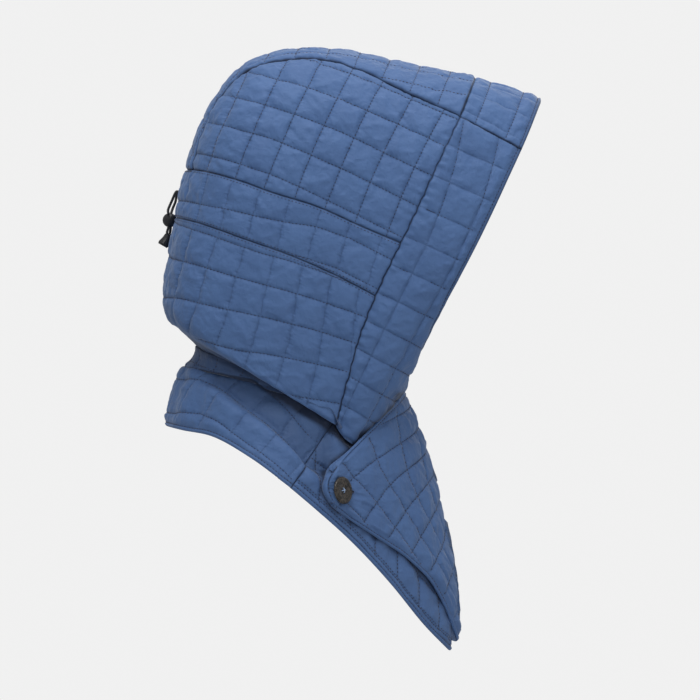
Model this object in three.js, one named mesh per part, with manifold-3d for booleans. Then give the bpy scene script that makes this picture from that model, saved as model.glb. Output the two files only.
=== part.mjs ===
import * as THREE from 'three';
import { mergeVertices } from 'three/addons/utils/BufferGeometryUtils.js';
import Module from 'manifold-3d';

// Quilted hood with a turned brim, a drawcord band at the back and a buttoned shoulder cape.
// Millimetres. The wearer faces +X, the wearer's left is +Y, up is +Z.
// The origin is the top of the head, just inside the crown.

const WALL = 3.6;
const SEAM_GAP = 0.4;
const INNER_SEAM_GAP = 2.0;
const QUILT_RISE = 2.0;
const CLOTH_BLUE = 0x4d6691;
const THREAD_BLUE = 0x8d9fc4;
const HORN_BROWN = 0x4a4038;
const CORD_BLACK = 0x16171a;
const LOCK_BLACK = 0x24262a;

// Crown: bows that all meet at one hinge point at each side of the neck.
const HINGE = { x: 20.8, z: -298.4, halfWidth: 76 };
const BOW_POWER = 3.3;
const CROWN_OUTLINE = [
  { angle: 60, reach: 304, halfWidth: 104 },
  { angle: 66, reach: 300, halfWidth: 105 },
  { angle: 70, reach: 296.5, halfWidth: 106 },
  { angle: 75, reach: 293.4, halfWidth: 107 },
  { angle: 80, reach: 293.8, halfWidth: 107 },
  { angle: 90, reach: 298.8, halfWidth: 107 },
  { angle: 95, reach: 301.2, halfWidth: 107 },
  { angle: 100, reach: 300.8, halfWidth: 107 },
  { angle: 105, reach: 295, halfWidth: 107 },
  { angle: 110, reach: 279.2, halfWidth: 106 },
  { angle: 115, reach: 259, halfWidth: 105 },
  { angle: 120, reach: 237.4, halfWidth: 103 },
  { angle: 125, reach: 219.2, halfWidth: 102 },
  { angle: 130, reach: 202.5, halfWidth: 101 },
  { angle: 135, reach: 188.5, halfWidth: 100 },
  { angle: 140, reach: 178, halfWidth: 98 },
  { angle: 145, reach: 167, halfWidth: 96 },
  { angle: 147, reach: 159, halfWidth: 95 },
  { angle: 148.5, reach: 148, halfWidth: 92 },
  { angle: 150, reach: 131.8, halfWidth: 85 },
  { angle: 151.5, reach: 124, halfWidth: 77 },
  { angle: 154, reach: 120, halfWidth: 72 },
];
const FOLD_ANGLE = 148.6;
const UNDERSIDE_ANGLES = [150, 151.3];

// Half width of the top strip, seam to centre, along the crown.
const STRIP_HALF_WIDTH = [
  { angle: 66, half: 76 },
  { angle: 70, half: 74 },
  { angle: 75, half: 71 },
  { angle: 80, half: 67 },
  { angle: 86, half: 59 },
  { angle: 92, half: 52 },
  { angle: 98, half: 50 },
  { angle: 105, half: 46 },
  { angle: 112, half: 43 },
  { angle: 120, half: 50 },
];
const STRIP_FRONT_ANGLE = 68.15;
const STRIP_RISE = 2;

// Steps of the grids, two to a quilt cell. Band and cape columns are those of one half,
// and the strip covers the first of the band's columns.
const BAND_COLUMNS = 20;
const STRIP_COLUMNS = 4;
const SIDE_COLUMNS = 16;
const SIDE_ROWS = 12;
const BAND_ROWS = 4;
const LOWER_ROWS = 8;
const NECK_ROWS = 3;
const BRIM_TOP_COLUMNS = 14;
const BRIM_SIDE_COLUMNS = 24;
const CAPE_COLUMNS = 18;
const CAPE_ROWS = 4;
const FRONT_COLUMNS = 12;
const OVER_COLUMNS = 24;
const FRONT_ROWS = 10;
const CURVE_SAMPLES = 80;
const BACK_CROWDING = 2.6;
const CORNER_CUT = 0.02;
const NECK_BAND_REACH = 0.88;
const NECK_BAND_DROP = 2.4;

// Seams seen from the side.
const BRIM_SEAM = [
  { z: -298.4, x: 20.8 },
  { z: -282, x: 24.6 },
  { z: -259, x: 31 },
  { z: -228, x: 39.6 },
  { z: -186, x: 56.6 },
  { z: -138, x: 80 },
  { z: -86, x: 104 },
  { z: -55, x: 118.6 },
  { z: -20.5, x: 132 },
];
const BAND_TOP = [
  { x: -112, z: -92.5 },
  { x: -88, z: -95.5 },
  { x: -56, z: -104 },
  { x: -32, z: -112.8 },
  { x: 8, z: -125.6 },
  { x: 40, z: -140 },
  { x: 80, z: -157 },
];
const BAND_BOTTOM = [
  { x: -116, z: -130.4 },
  { x: -88, z: -137.6 },
  { x: -52, z: -150.4 },
  { x: -8, z: -166.4 },
  { x: 32, z: -184.8 },
  { x: 60, z: -200 },
];
const NECK_SEAM = [
  { x: -106, z: -250 },
  { x: -80, z: -256.5 },
  { x: -60, z: -262.5 },
  { x: -41, z: -271 },
  { x: -16, z: -286.5 },
  { x: 6, z: -299.5 },
  { x: 20, z: -306 },
  { x: 28, z: -309 },
];

// Brim: a loft from the brim seam to the front edge around the face.
const BRIM_EDGE = [
  { part: 0, x: 75.2, z: -271 },
  { part: 0.08, x: 81.6, z: -256.5 },
  { part: 0.3, x: 103.2, z: -213 },
  { part: 0.55, x: 132.2, z: -157 },
  { part: 0.78, x: 158.6, z: -101 },
  { part: 0.92, x: 175.4, z: -63.5 },
  { part: 1, x: 185, z: -38.8 },
];
const EDGE_HALF_WIDTH = 98;
const EDGE_POWER = 2.9;
const EDGE_CHIN_NARROWING = 0.92;
const CHIN_BULGE = 13;
const NECKLINE_GAP = 0.5;
const BRIM_QUILT_LINES = [0, 0.27, 0.68, 1];
const BRIM_TOP_EDGE_SHARE = 0.258;

// Shoulder form that the cape, the neck and the front lie on: level slices, top to bottom.
const FORM = [
  { z: -215, back: -84, front: 60, widest: -20, half: 60, nose: 1.1 },
  { z: -234, back: -92, front: 66, widest: -20, half: 66, nose: 1.1 },
  { z: -253, back: -102, front: 70, widest: -20, half: 72, nose: 1.1 },
  { z: -272, back: -108.5, front: 75, widest: -20, half: 77, nose: 1.15 },
  { z: -300, back: -116.5, front: 83, widest: -21, half: 86, nose: 1.3 },
  { z: -330, back: -121, front: 92.5, widest: -24, half: 98, nose: 1.6 },
  { z: -370, back: -124, front: 102.5, widest: -29, half: 110, nose: 1.9 },
  { z: -410, back: -124, front: 109.5, widest: -32, half: 115, nose: 1.9 },
  { z: -450, back: -124, front: 113, widest: -34, half: 118, nose: 1.9 },
  { z: -490, back: -124, front: 114, widest: -35, half: 118, nose: 1.9 },
];
const FORM_FRONT_SPREAD = 1.12;
const FORM_BACK_POWER = 0.87;
const NECKLINE = [
  { part: 0, x: 20.8, z: -298.4 },
  { part: 0.2, x: 28, z: -309 },
  { part: 0.4, x: 38, z: -313.5 },
  { part: 0.55, x: 48, z: -308 },
  { part: 0.75, x: 60, z: -296.5 },
  { part: 0.9, x: 69, z: -284 },
  { part: 1, x: 73.4, z: -272.5 },
];
const HEM = [
  { x: -118, z: -298.4 },
  { x: -104, z: -301.5 },
  { x: -78, z: -306.5 },
  { x: -49.6, z: -321.6 },
  { x: -20.8, z: -342.4 },
  { x: 8, z: -366.4 },
  { x: 36.8, z: -392.8 },
  { x: 65.6, z: -424 },
  { x: 94.4, z: -459.2 },
  { x: 116, z: -481 },
];
const CAPE_SEAM = [
  { z: -305.5, x: 19 },
  { z: -314, x: 8 },
  { z: -328, x: 0 },
  { z: -345.5, x: -13 },
];

// Over flap: lies on the wearer's right, above the under layer, which stops just short
// of the centre front. The left front rises into it between two places of its width.
const UNDER_REACH = 0.985;
const OVER_LIFT = 6.2;
const OVER_RISE = { from: -0.55, to: -0.1 };
const FLAP_EDGE_LIFT = 2.4;
const FLAP_TOP = [
  { x: 9, z: -344 },
  { x: 16, z: -333.6 },
  { x: 32, z: -318.4 },
  { x: 46.4, z: -304 },
  { x: 62.4, z: -288 },
  { x: 74.4, z: -275.2 },
  { x: 80, z: -267 },
];
const FLAP_BOTTOM = [
  { x: 9, z: -351 },
  { x: 16.8, z: -362.4 },
  { x: 28, z: -371.2 },
  { x: 54.4, z: -388.8 },
  { x: 81.6, z: -408.8 },
  { x: 99.2, z: -430.4 },
  { x: 109, z: -453 },
  { x: 114, z: -471 },
];
const FLAP_END = [
  { part: 0, x: 16, z: -333.6 },
  { part: 0.33, x: 10.4, z: -341.5 },
  { part: 0.55, x: 8.8, z: -348 },
  { part: 0.78, x: 11.2, z: -355.2 },
  { part: 1, x: 16.8, z: -362.4 },
];

// Folds pressed into the cape at the back and into the strip beside the brim.
const CAPE_FOLDS = [
  { turn: 176, width: 7, depth: 2.4 },
  { turn: 160, width: 6, depth: -2 },
  { turn: 146, width: 7, depth: 2 },
  { turn: 128, width: 8, depth: -1.6 },
  { turn: 112, width: 8, depth: 1.4 },
];

// Button with four holes, its thread shank and the buttonhole in the flap.
const BUTTON = { x: 24.8, z: -351.2, radius: 11, thickness: 3.4, face: 2.6, standOff: 2.6 };
const BUTTON_HOLES = { radius: 1.1, offset: 2.4, sides: 8 };
const BUTTONHOLE = { length: 15, width: 3.6, shift: 5 };
const BUTTON_PROFILE = [
  { inFromEdge: 1.6, up: 0 },
  { inFromEdge: 0, up: 1.5 },
  { inFromEdge: 0.3, up: 2.9 },
  { inFromEdge: 1, up: 3.4 },
  { inFromEdge: 1.6, up: 3.1 },
  { inFromEdge: 2.5, up: 2.6 },
];
const BUTTON_SIDES = 24;
const SHANK_RADIUS = 1.2;
const SHANK_SIDES = 8;

// Elastic drawcord: two strands from the band, through a ball lock, to one cord end.
const CORD_RADIUS = 1.1;
const CORD_SIDES = 8;
const CONTACT_GAP = 0.4;
const CORD_STRAIGHT = 3.4;
const CORD_STEP = 2.2 * 2 * CORD_RADIUS;
const EYELET = { ring: 3.2, wire: 0.8, wireSides: 5, sides: 14 };
const CORD_EXITS = [
  { side: 'right', y: -9, z: -112.8 },
  { side: 'left', y: 12, z: -112.8 },
];
const CORD_LOCK = { x: -112.4, y: 11, z: -134.4, radius: 5.8, around: 16, down: 10 };
const LOCK_HOLLOW = { y: 11, z: -134, radius: 16, depth: 4.8 };
const CORD_END = { x: -113.4, y: 10.9, z: -146.6, lean: 30, sides: 16 };
const CORD_END_PROFILE = [
  { down: 0, radius: 3 },
  { down: 2.9, radius: 3.25 },
  { down: 5.9, radius: 4 },
  { down: 7.8, radius: 4.5 },
  { down: 9.5, radius: 4 },
];
const UPPER_CORDS = {
  right: [
    [-110.6, -6.4, -119.6],
    [-113, -1.4, -124.8],
    [-113.7, 4.2, -127.2],
    [-113.4, 8.2, -129.1],
  ],
  left: [
    [-107.8, 13.4, -119.4],
    [-109.8, 14.6, -124.4],
    [-111.2, 13.6, -128.9],
  ],
};
const LOWER_CORDS = {
  right: [
    [-113.4, 9, -140],
    [-114.3, 9, -143.2],
    [-114.5, 9.3, -145.1],
  ],
  left: [
    [-111.6, 12.7, -139.8],
    [-112, 12.8, -143.2],
    [-112.6, 12.3, -146],
  ],
};

const MIDDLE = { x: -10, z: -170 };
const RAD = Math.PI / 180;
const lerp = (a, b, t) => a + (b - a) * t;
const steps = (n) => Array.from({ length: n + 1 }, (_, i) => i / n);
const clamp = (v, lo, hi) => Math.min(hi, Math.max(lo, v));
const { hypot, cos, sin, abs, sign, round } = Math;

// Smooth curve through one column of a table.
function column(table, from, to) {
  const t = table.map((row) => row[from]);
  const order = t[0] < t[t.length - 1] ? 1 : -1;
  const v = table.map((row) => row[to]);
  const slope = v.map((_, i) => {
    const a = Math.max(i - 1, 0);
    const b = Math.min(i + 1, v.length - 1);
    if (a === i || b === i) {
      return (v[b] - v[a]) / (t[b] - t[a]);
    }
    const before = (v[i] - v[a]) / (t[i] - t[a]);
    const after = (v[b] - v[i]) / (t[b] - t[i]);
    return (before * (t[b] - t[i]) + after * (t[i] - t[a])) / (t[b] - t[a]);
  });
  return (value) => {
    let i = 0;
    while (i < t.length - 2 && (value - t[i + 1]) * order > 0) {
      i += 1;
    }
    const h = t[i + 1] - t[i];
    const s = clamp((value - t[i]) / h, 0, 1);
    const rest = 1 - s;
    return (1 + 2 * s) * rest * rest * v[i] + s * rest * rest * h * slope[i]
      + s * s * (3 - 2 * s) * v[i + 1] - s * s * rest * h * slope[i + 1];
  };
}

// Root of a function that changes sign between two values.
function rootBetween(lo, hi, f) {
  const startSign = sign(f(lo));
  let a = lo;
  let b = hi;
  for (let k = 0; k < 40; k += 1) {
    const mid = (a + b) / 2;
    if (sign(f(mid)) === startSign) {
      a = mid;
    } else {
      b = mid;
    }
  }
  return (a + b) / 2;
}

// Points at equal distances along a polyline; part runs from 0 to 1.
function alongLength(points) {
  const length = [0];
  for (let i = 1; i < points.length; i += 1) {
    length.push(length[i - 1] + points[i].distanceTo(points[i - 1]));
  }
  const total = length[length.length - 1];
  const at = (part) => {
    const wanted = clamp(part, 0, 1) * total;
    let i = 0;
    while (i < points.length - 2 && length[i + 1] < wanted) {
      i += 1;
    }
    const step = length[i + 1] - length[i];
    return points[i].clone().lerp(points[i + 1], clamp((wanted - length[i]) / step, 0, 1));
  };
  return { at, total };
}

const reachAt = column(CROWN_OUTLINE, 'angle', 'reach');
const widthAt = column(CROWN_OUTLINE, 'angle', 'halfWidth');
const stripHalfAt = column(STRIP_HALF_WIDTH, 'angle', 'half');
const brimSeamX = column(BRIM_SEAM, 'z', 'x');
const bandTopZ = column(BAND_TOP, 'x', 'z');
const bandBottomZ = column(BAND_BOTTOM, 'x', 'z');
const neckSeamZ = column(NECK_SEAM, 'x', 'z');
const edgeX = column(BRIM_EDGE, 'part', 'x');
const edgeZ = column(BRIM_EDGE, 'part', 'z');
const necklineZ = column(NECKLINE, 'x', 'z');
const necklinePartX = column(NECKLINE, 'part', 'x');
const necklinePartZ = column(NECKLINE, 'part', 'z');
const hemZ = column(HEM, 'x', 'z');
const capeSeamX = column(CAPE_SEAM, 'z', 'x');
const flapTopZ = column(FLAP_TOP, 'x', 'z');
const flapBottomZ = column(FLAP_BOTTOM, 'x', 'z');
const flapEndX = column(FLAP_END, 'part', 'x');
const flapEndZ = column(FLAP_END, 'part', 'z');
const formColumn = {
  back: column(FORM, 'z', 'back'),
  front: column(FORM, 'z', 'front'),
  widest: column(FORM, 'z', 'widest'),
  half: column(FORM, 'z', 'half'),
  nose: column(FORM, 'z', 'nose'),
};

// Crown surface: share of the reach, and half width, at a point seen from the side.
function reachShare(x, z) {
  const angle = Math.atan2(z - HINGE.z, x - HINGE.x) / RAD;
  return hypot(x - HINGE.x, z - HINGE.z) / reachAt(angle);
}

function narrowing(angle, share) {
  const k = 1 - HINGE.halfWidth / widthAt(angle);
  return 1 - k * (1 - share) ** 2;
}

function crownPoint(x, z) {
  const angle = Math.atan2(z - HINGE.z, x - HINGE.x) / RAD;
  const share = clamp(reachShare(x, z), 0, 1);
  const bow = (1 - share ** BOW_POWER) ** (1 / BOW_POWER);
  return new THREE.Vector3(x, widthAt(angle) * bow * narrowing(angle, share), z);
}

function bowPoint(angle, turn) {
  const share = cos(turn) ** (2 / BOW_POWER);
  const y = widthAt(angle) * sin(turn) ** (2 / BOW_POWER) * narrowing(angle, share);
  const r = share * reachAt(angle);
  return new THREE.Vector3(HINGE.x + r * cos(angle * RAD), y, HINGE.z + r * sin(angle * RAD));
}

// One row around the crown from the centre of the back (0) to the brim seam (1).
function crownRow(heightAt) {
  const back = rootBetween(-135, -70, (x) => reachShare(x, heightAt(x)) - 1);
  const front = rootBetween(0, 120, (x) => x - brimSeamX(heightAt(x)));
  const points = [];
  steps(CURVE_SAMPLES).forEach((s) => {
    const x = lerp(back, front, s ** BACK_CROWDING);
    points.push(crownPoint(x, heightAt(x)));
  });
  points[0].y = 0;
  return alongLength(points);
}

// A whole row, -1 to 1, mirrored about the centre of the back.
function bothSides(row) {
  return (u) => {
    const p = row.at(abs(u));
    p.y *= -sign(u);
    return p;
  };
}

// Shoulder form: turn 0 is the centre front, 180 the centre back, on the +Y side.
function formPoint(turn, z) {
  const c = cos(turn * RAD);
  const s = sin(turn * RAD);
  const widest = formColumn.widest(z);
  const half = formColumn.half(z);
  if (c >= 0) {
    const depth = formColumn.front(z) - widest;
    return new THREE.Vector3(widest + depth * c ** formColumn.nose(z), half * s ** FORM_FRONT_SPREAD, z);
  }
  const depth = widest - formColumn.back(z);
  return new THREE.Vector3(widest - depth * abs(c) ** FORM_BACK_POWER, half * s ** FORM_BACK_POWER, z);
}

// Height at which one line down the form crosses a curve drawn from the side.
function crossing(turn, curveZ, top, bottom) {
  return rootBetween(top, bottom, (z) => z - curveZ(formPoint(turn, z).x));
}

function formTurn(x, z) {
  return rootBetween(0.01, 179.9, (turn) => formPoint(turn, z).x - x);
}

function onForm(x, z) {
  return formPoint(formTurn(x, z), z);
}

// Normals of a grid of points, pointing away from the middle of the head and neck.
function gridNormals(grid) {
  const rows = grid.length;
  const cols = grid[0].length;
  let away = 0;
  const normals = grid.map((row, i) => row.map((p, j) => {
    const a = grid[Math.min(i + 1, rows - 1)][j].clone().sub(grid[Math.max(i - 1, 0)][j]);
    const b = grid[i][Math.min(j + 1, cols - 1)].clone().sub(grid[i][Math.max(j - 1, 0)]);
    const normal = a.cross(b).normalize();
    away += normal.x * (p.x - MIDDLE.x) + normal.y * p.y + normal.z * Math.max(p.z - MIDDLE.z, 0);
    return normal;
  }));
  const turn = sign(away);
  normals.forEach((row) => row.forEach((normal) => normal.multiplyScalar(turn)));
  return { normals, turn };
}

// Closed padded wall: an outer grid with quilted relief and an inner grid one wall in.
function paddedShell(grid, relief) {
  const { normals, turn } = gridNormals(grid);
  const rows = grid.length;
  const cols = grid[0].length;
  const positions = [];
  const layer = (offset, edge) => grid.map((row, i) => row.map((p, j) => {
    const q = p.clone().addScaledVector(normals[i][j], offset(i, j));
    const inI = grid[clamp(i, 1, rows - 2)][j].clone().sub(p);
    const inJ = grid[i][clamp(j, 1, cols - 2)].clone().sub(p);
    [inI, inJ].forEach((step) => {
      if (step.length() > 0) {
        q.addScaledVector(step.normalize(), edge / 2);
      }
    });
    positions.push(q.x, q.y, q.z);
    return positions.length / 3 - 1;
  }));
  const outer = layer((i, j) => relief(i, j), SEAM_GAP);
  const inner = layer(() => -WALL, INNER_SEAM_GAP);
  const index = [];
  const quad = (a, b, c, d) => {
    const turned = turn > 0 ? [a, b, c, a, c, d] : [a, c, b, a, d, c];
    index.push(...turned);
  };
  for (let i = 0; i < rows - 1; i += 1) {
    for (let j = 0; j < cols - 1; j += 1) {
      quad(outer[i][j], outer[i + 1][j], outer[i + 1][j + 1], outer[i][j + 1]);
      quad(inner[i][j], inner[i][j + 1], inner[i + 1][j + 1], inner[i + 1][j]);
    }
  }
  for (let j = 0; j < cols - 1; j += 1) {
    quad(outer[0][j], outer[0][j + 1], inner[0][j + 1], inner[0][j]);
    quad(outer[rows - 1][j + 1], outer[rows - 1][j], inner[rows - 1][j], inner[rows - 1][j + 1]);
  }
  for (let i = 0; i < rows - 1; i += 1) {
    quad(outer[i + 1][0], outer[i][0], inner[i][0], inner[i + 1][0]);
    quad(outer[i][cols - 1], outer[i + 1][cols - 1], inner[i + 1][cols - 1], inner[i][cols - 1]);
  }
  const geometry = new THREE.BufferGeometry();
  geometry.setAttribute('position', new THREE.Float32BufferAttribute(positions, 3));
  geometry.setIndex(index);
  return geometry;
}

// Quilt cushions: two steps to a cell, raised at the middle of each cell.
const tufted = (i, j) => (i % 2 === 1 && j % 2 === 1 ? QUILT_RISE : 0);

const hood = new THREE.Group();

function addPiece(name, geometry, color, roughness, metalness = 0) {
  geometry.computeVertexNormals();
  const material = new THREE.MeshStandardMaterial({ color, roughness, metalness });
  const mesh = new THREE.Mesh(geometry, material);
  mesh.name = name;
  hood.add(mesh);
  return mesh;
}

function addCloth(name, geometry) {
  return addPiece(name, geometry, CLOTH_BLUE, 0.75);
}

function mirrored(grid) {
  return grid.map((row) => row.map((p) => new THREE.Vector3(p.x, -p.y, p.z)));
}

// The band is pressed in a little where the cord lock hangs.
function lockHollow(p) {
  const d2 = (p.y - LOCK_HOLLOW.y) ** 2 + (p.z - LOCK_HOLLOW.z) ** 2;
  return p.x > -80 ? 0 : LOCK_HOLLOW.depth * Math.exp(-d2 / LOCK_HOLLOW.radius ** 2);
}

// Top strip of the crown, from the band at the back to the brim seam.
function stripTurn(angle, across) {
  const half = stripHalfAt(angle) / widthAt(angle);
  return Math.asin(half ** (BOW_POWER / 2)) * abs(across) ** (BOW_POWER / 2);
}

function stripPoint(across, along) {
  const meetsBand = (angle) => {
    const p = bowPoint(angle, stripTurn(angle, across));
    return p.z - bandTopZ(p.x);
  };
  const last = rootBetween(STRIP_FRONT_ANGLE + 20, 124, meetsBand);
  const angle = lerp(last, STRIP_FRONT_ANGLE, along);
  const p = bowPoint(angle, stripTurn(angle, across));
  p.y *= sign(across);
  return p;
}

function buildStrip() {
  const across = 2 * STRIP_COLUMNS;
  const along = 2 * SIDE_COLUMNS;
  const grid = steps(along).map((a) => steps(across).map((c) => stripPoint(2 * c - 1, a)));
  [0, across].forEach((j) => grid.forEach((row, i) => {
    if (i % 2 === 1) {
      row[j].copy(grid[i - 1][j]).lerp(grid[i + 1][j], 0.5);
    }
  }));
  const rise = (i, j) => STRIP_RISE * sin(Math.PI * (j / across)) ** 0.6;
  addCloth('centre_panel', paddedShell(grid, (i, j) => rise(i, j) + tufted(i, j)));
}

// Side panel between the strip seam, the brim seam and the top of the band.
function sidePoint(along, up) {
  const corner = STRIP_COLUMNS / BAND_COLUMNS;
  const bottom = bandRow.at(lerp(corner, 1, along));
  const a = lerp(stripBackAngle, STRIP_FRONT_ANGLE, along);
  const top = bowPoint(a, stripTurn(a, 1));
  const front = bandRow.at(1).lerp(stripFrontCorner, up);
  const bend = along ** 3 * (brimSeamX(front.z) - front.x);
  return crownPoint(lerp(bottom.x, top.x, up) + bend, lerp(bottom.z, top.z, up));
}

const bandRow = crownRow(bandTopZ);
const stripBackCorner = stripPoint(1, 0);
const stripFrontCorner = bowPoint(STRIP_FRONT_ANGLE, stripTurn(STRIP_FRONT_ANGLE, 1));
const stripBackAngle = Math.atan2(stripBackCorner.z - HINGE.z, stripBackCorner.x - HINGE.x) / RAD;

function buildSidePanels() {
  const grid = steps(SIDE_COLUMNS).map((a) => {
    const line = alongLength(steps(CURVE_SAMPLES).map((up) => sidePoint(Math.max(a, CORNER_CUT), up)));
    return steps(SIDE_ROWS).map((up) => line.at(up));
  });
  addCloth('side_panel_left', paddedShell(grid, tufted));
  addCloth('side_panel_right', paddedShell(mirrored(grid), tufted));
}

// Rows between two curves round the back, from one brim seam to the other.
function wrapGrid(topZ, bottomZ, across, down) {
  return steps(down).map((v) => {
    const row = bothSides(crownRow((x) => lerp(topZ(x), bottomZ(x), v)));
    return steps(across).map((u) => row(2 * u - 1));
  });
}

function buildBand() {
  const grid = wrapGrid(bandTopZ, bandBottomZ, 2 * BAND_COLUMNS, BAND_ROWS);
  grid.forEach((row) => row.forEach((p) => {
    p.x += lockHollow(p);
  }));
  const relief = (i, j) => (abs(j - BAND_COLUMNS) <= 2 ? 0 : tufted(i, j));
  return addCloth('drawcord_band', paddedShell(grid, relief));
}

const rayZ = (angle) => (x) => HINGE.z + (x - HINGE.x) * Math.tan(angle * RAD);

function buildLowerPanel() {
  const grid = wrapGrid(bandBottomZ, rayZ(FOLD_ANGLE), 2 * BAND_COLUMNS, LOWER_ROWS);
  UNDERSIDE_ANGLES.forEach((angle) => {
    const row = bothSides(crownRow(rayZ(angle)));
    grid.push(steps(2 * BAND_COLUMNS).map((u) => row(2 * u - 1)));
  });
  grid.forEach((row) => row.forEach((p) => {
    p.x += lockHollow(p);
  }));
  const relief = (i, j) => (i < LOWER_ROWS ? tufted(i, j) : 0);
  addCloth('lower_panel', paddedShell(grid, relief));
}

// Neck: from the rolled edge of the crown in and down to the neck seam.
const seamTurn = (z) => formTurn(capeSeamX(z), z);
const neckEnd = NECKLINE[1];
const neckEndTurn = formTurn(neckEnd.x - 4, neckEnd.z);
const frontTopZ = (x) => (x < neckEnd.x ? neckSeamZ(x) : necklineZ(x));

function neckSeamPoint(side) {
  const turn = lerp(180, neckEndTurn, abs(side));
  const p = formPoint(turn, crossing(turn, neckSeamZ, -215, -330));
  p.y *= -sign(side);
  return p;
}

function buildNeckBand() {
  const topRow = bothSides(crownRow(rayZ(UNDERSIDE_ANGLES[UNDERSIDE_ANGLES.length - 1])));
  const grid = steps(NECK_ROWS).map((v) => steps(2 * CAPE_COLUMNS).map((u) => {
    const top = topRow(NECK_BAND_REACH * (2 * u - 1));
    const bottom = neckSeamPoint(2 * u - 1);
    top.z -= NECK_BAND_DROP;
    const inner = new THREE.Vector3(bottom.x, bottom.y, top.z - 1).lerp(top, 0.35);
    return top.lerp(inner, v).lerp(inner.lerp(bottom, v), v);
  }));
  addCloth('neck_band', paddedShell(grid, () => 0));
}

// Brim: half rows from the top centre to the chin, lofted from seam to edge.
function edgeHalfWidth(part) {
  const bow = (1 - part ** EDGE_POWER) ** (1 / EDGE_POWER);
  return EDGE_HALF_WIDTH * bow * (1 - EDGE_CHIN_NARROWING * (1 - part) ** 4);
}

function brimPoint(across, part) {
  const seamZ = lerp(BRIM_SEAM[0].z, BRIM_SEAM[BRIM_SEAM.length - 1].z, part);
  const seam = crownPoint(brimSeamX(seamZ), seamZ);
  const edge = new THREE.Vector3(edgeX(part), edgeHalfWidth(part), edgeZ(part));
  const p = seam.lerp(edge, across);
  p.y += CHIN_BULGE * 4 * across * (1 - across) * (1 - part) ** 2 * part ** 0.5;
  return p;
}

function brimRow(across) {
  const chin = onForm(necklinePartX(across), necklinePartZ(across));
  const drop = chin.sub(brimPoint(across, 0));
  const points = [];
  steps(CURVE_SAMPLES).forEach((s) => {
    const part = 1 - s ** 2;
    points.push(brimPoint(across, part).addScaledVector(drop, (1 - part) ** 5));
  });
  points[0].y = 0;
  return alongLength(points);
}

function acrossSteps(lines) {
  const list = [lines[0]];
  for (let i = 1; i < lines.length; i += 1) {
    list.push((lines[i - 1] + lines[i]) / 2, lines[i]);
  }
  return list;
}

function buildBrim() {
  const across = acrossSteps(BRIM_QUILT_LINES);
  const atSeam = rootBetween(0, 0.5, (s) => brimRow(0).at(s).y - stripFrontCorner.y);
  const split = (t) => lerp(atSeam, BRIM_TOP_EDGE_SHARE, t);
  const top = across.map((t) => {
    const row = bothSides({ at: (s) => brimRow(t).at(s * split(t)) });
    return steps(BRIM_TOP_COLUMNS).map((u) => row(2 * u - 1));
  });
  addCloth('brim_top', paddedShell(top, tufted));
  const side = across.map((t) => {
    const row = brimRow(t);
    return steps(BRIM_SIDE_COLUMNS).map((s) => row.at(lerp(split(t), 1, s)));
  });
  const relief = (i, j) => (j > BRIM_SIDE_COLUMNS - 3 ? 0 : tufted(i, j));
  addCloth('brim_side_left', paddedShell(side, relief));
  addCloth('brim_side_right', paddedShell(mirrored(side), relief));
}

// Cape round the back, between the two seams that run on from the brim seams.
function capeFold(turn, v) {
  return CAPE_FOLDS.reduce((sum, fold) => {
    const d = (turn - fold.turn) / fold.width;
    return sum + fold.depth * Math.exp(-d * d) * sin(Math.PI * clamp(v, 0, 1)) ** 0.5;
  }, 0);
}

function capeLine(turn, v, topZ) {
  const top = crossing(turn, topZ, -215, -345);
  const bottom = crossing(turn, hemZ, -280, -495);
  return lerp(top, bottom, v);
}

function buildCapeBack() {
  const columns = 2 * CAPE_COLUMNS;
  const grid = steps(CAPE_ROWS).map((v) => steps(columns).map((u) => {
    const side = 2 * u - 1;
    const z0 = lerp(CAPE_SEAM[0].z, CAPE_SEAM[3].z, v);
    const edgeTurn = seamTurn(z0);
    const turn = lerp(180, edgeTurn, abs(side));
    const p = formPoint(turn, abs(side) > 0.999 ? z0 : capeLine(turn, v, neckSeamZ));
    p.y *= -sign(side);
    return p;
  }));
  const relief = (i, j) => {
    const turn = lerp(180, 70, abs(2 * (j / columns) - 1));
    return tufted(i, j) + capeFold(turn, i / CAPE_ROWS);
  };
  addCloth('cape_back', paddedShell(grid, relief));
}

// Front pieces: columns from the cape seam to the centre front.
function frontPoint(u, v) {
  const z0 = lerp(CAPE_SEAM[0].z, CAPE_SEAM[3].z, v);
  const edgeTurn = seamTurn(z0);
  const turn = lerp(edgeTurn, 0, u);
  if (u === 0) {
    return formPoint(turn, z0);
  }
  const top = crossing(turn, frontTopZ, -262, -335);
  const bottom = crossing(turn, hemZ, -300, -495);
  return formPoint(turn, lerp(top - NECKLINE_GAP, bottom, v));
}

function buildFrontUnder() {
  const grid = steps(FRONT_ROWS).map((v) => (
    steps(FRONT_COLUMNS).map((u) => frontPoint(u * UNDER_REACH, v))
  ));
  return addCloth('front_right_under', paddedShell(mirrored(grid), tufted));
}

// Over layer: the left front, lifted at the centre, and its flap on the right.
function overOffset(side, v) {
  const s = clamp((side - OVER_RISE.from) / (OVER_RISE.to - OVER_RISE.from), 0, 1);
  return (OVER_LIFT + FLAP_EDGE_LIFT * (1 - v) ** 4) * s * s * (3 - 2 * s);
}

function flapPoint(u, v) {
  const endTurn = formTurn(flapEndX(v), flapEndZ(v));
  const endTop = formTurn(FLAP_END[0].x, FLAP_END[0].z);
  const endLow = formTurn(FLAP_END[4].x, FLAP_END[4].z);
  const top = crossing(u * endTop, flapTopZ, -250, -360);
  const low = crossing(u * endLow, flapBottomZ, -330, -480);
  const straight = lerp(FLAP_END[0].z, FLAP_END[4].z, v);
  const p = formPoint(u * endTurn, lerp(top, low, v) + u ** 3 * (flapEndZ(v) - straight));
  p.y = -p.y;
  return p;
}

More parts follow.
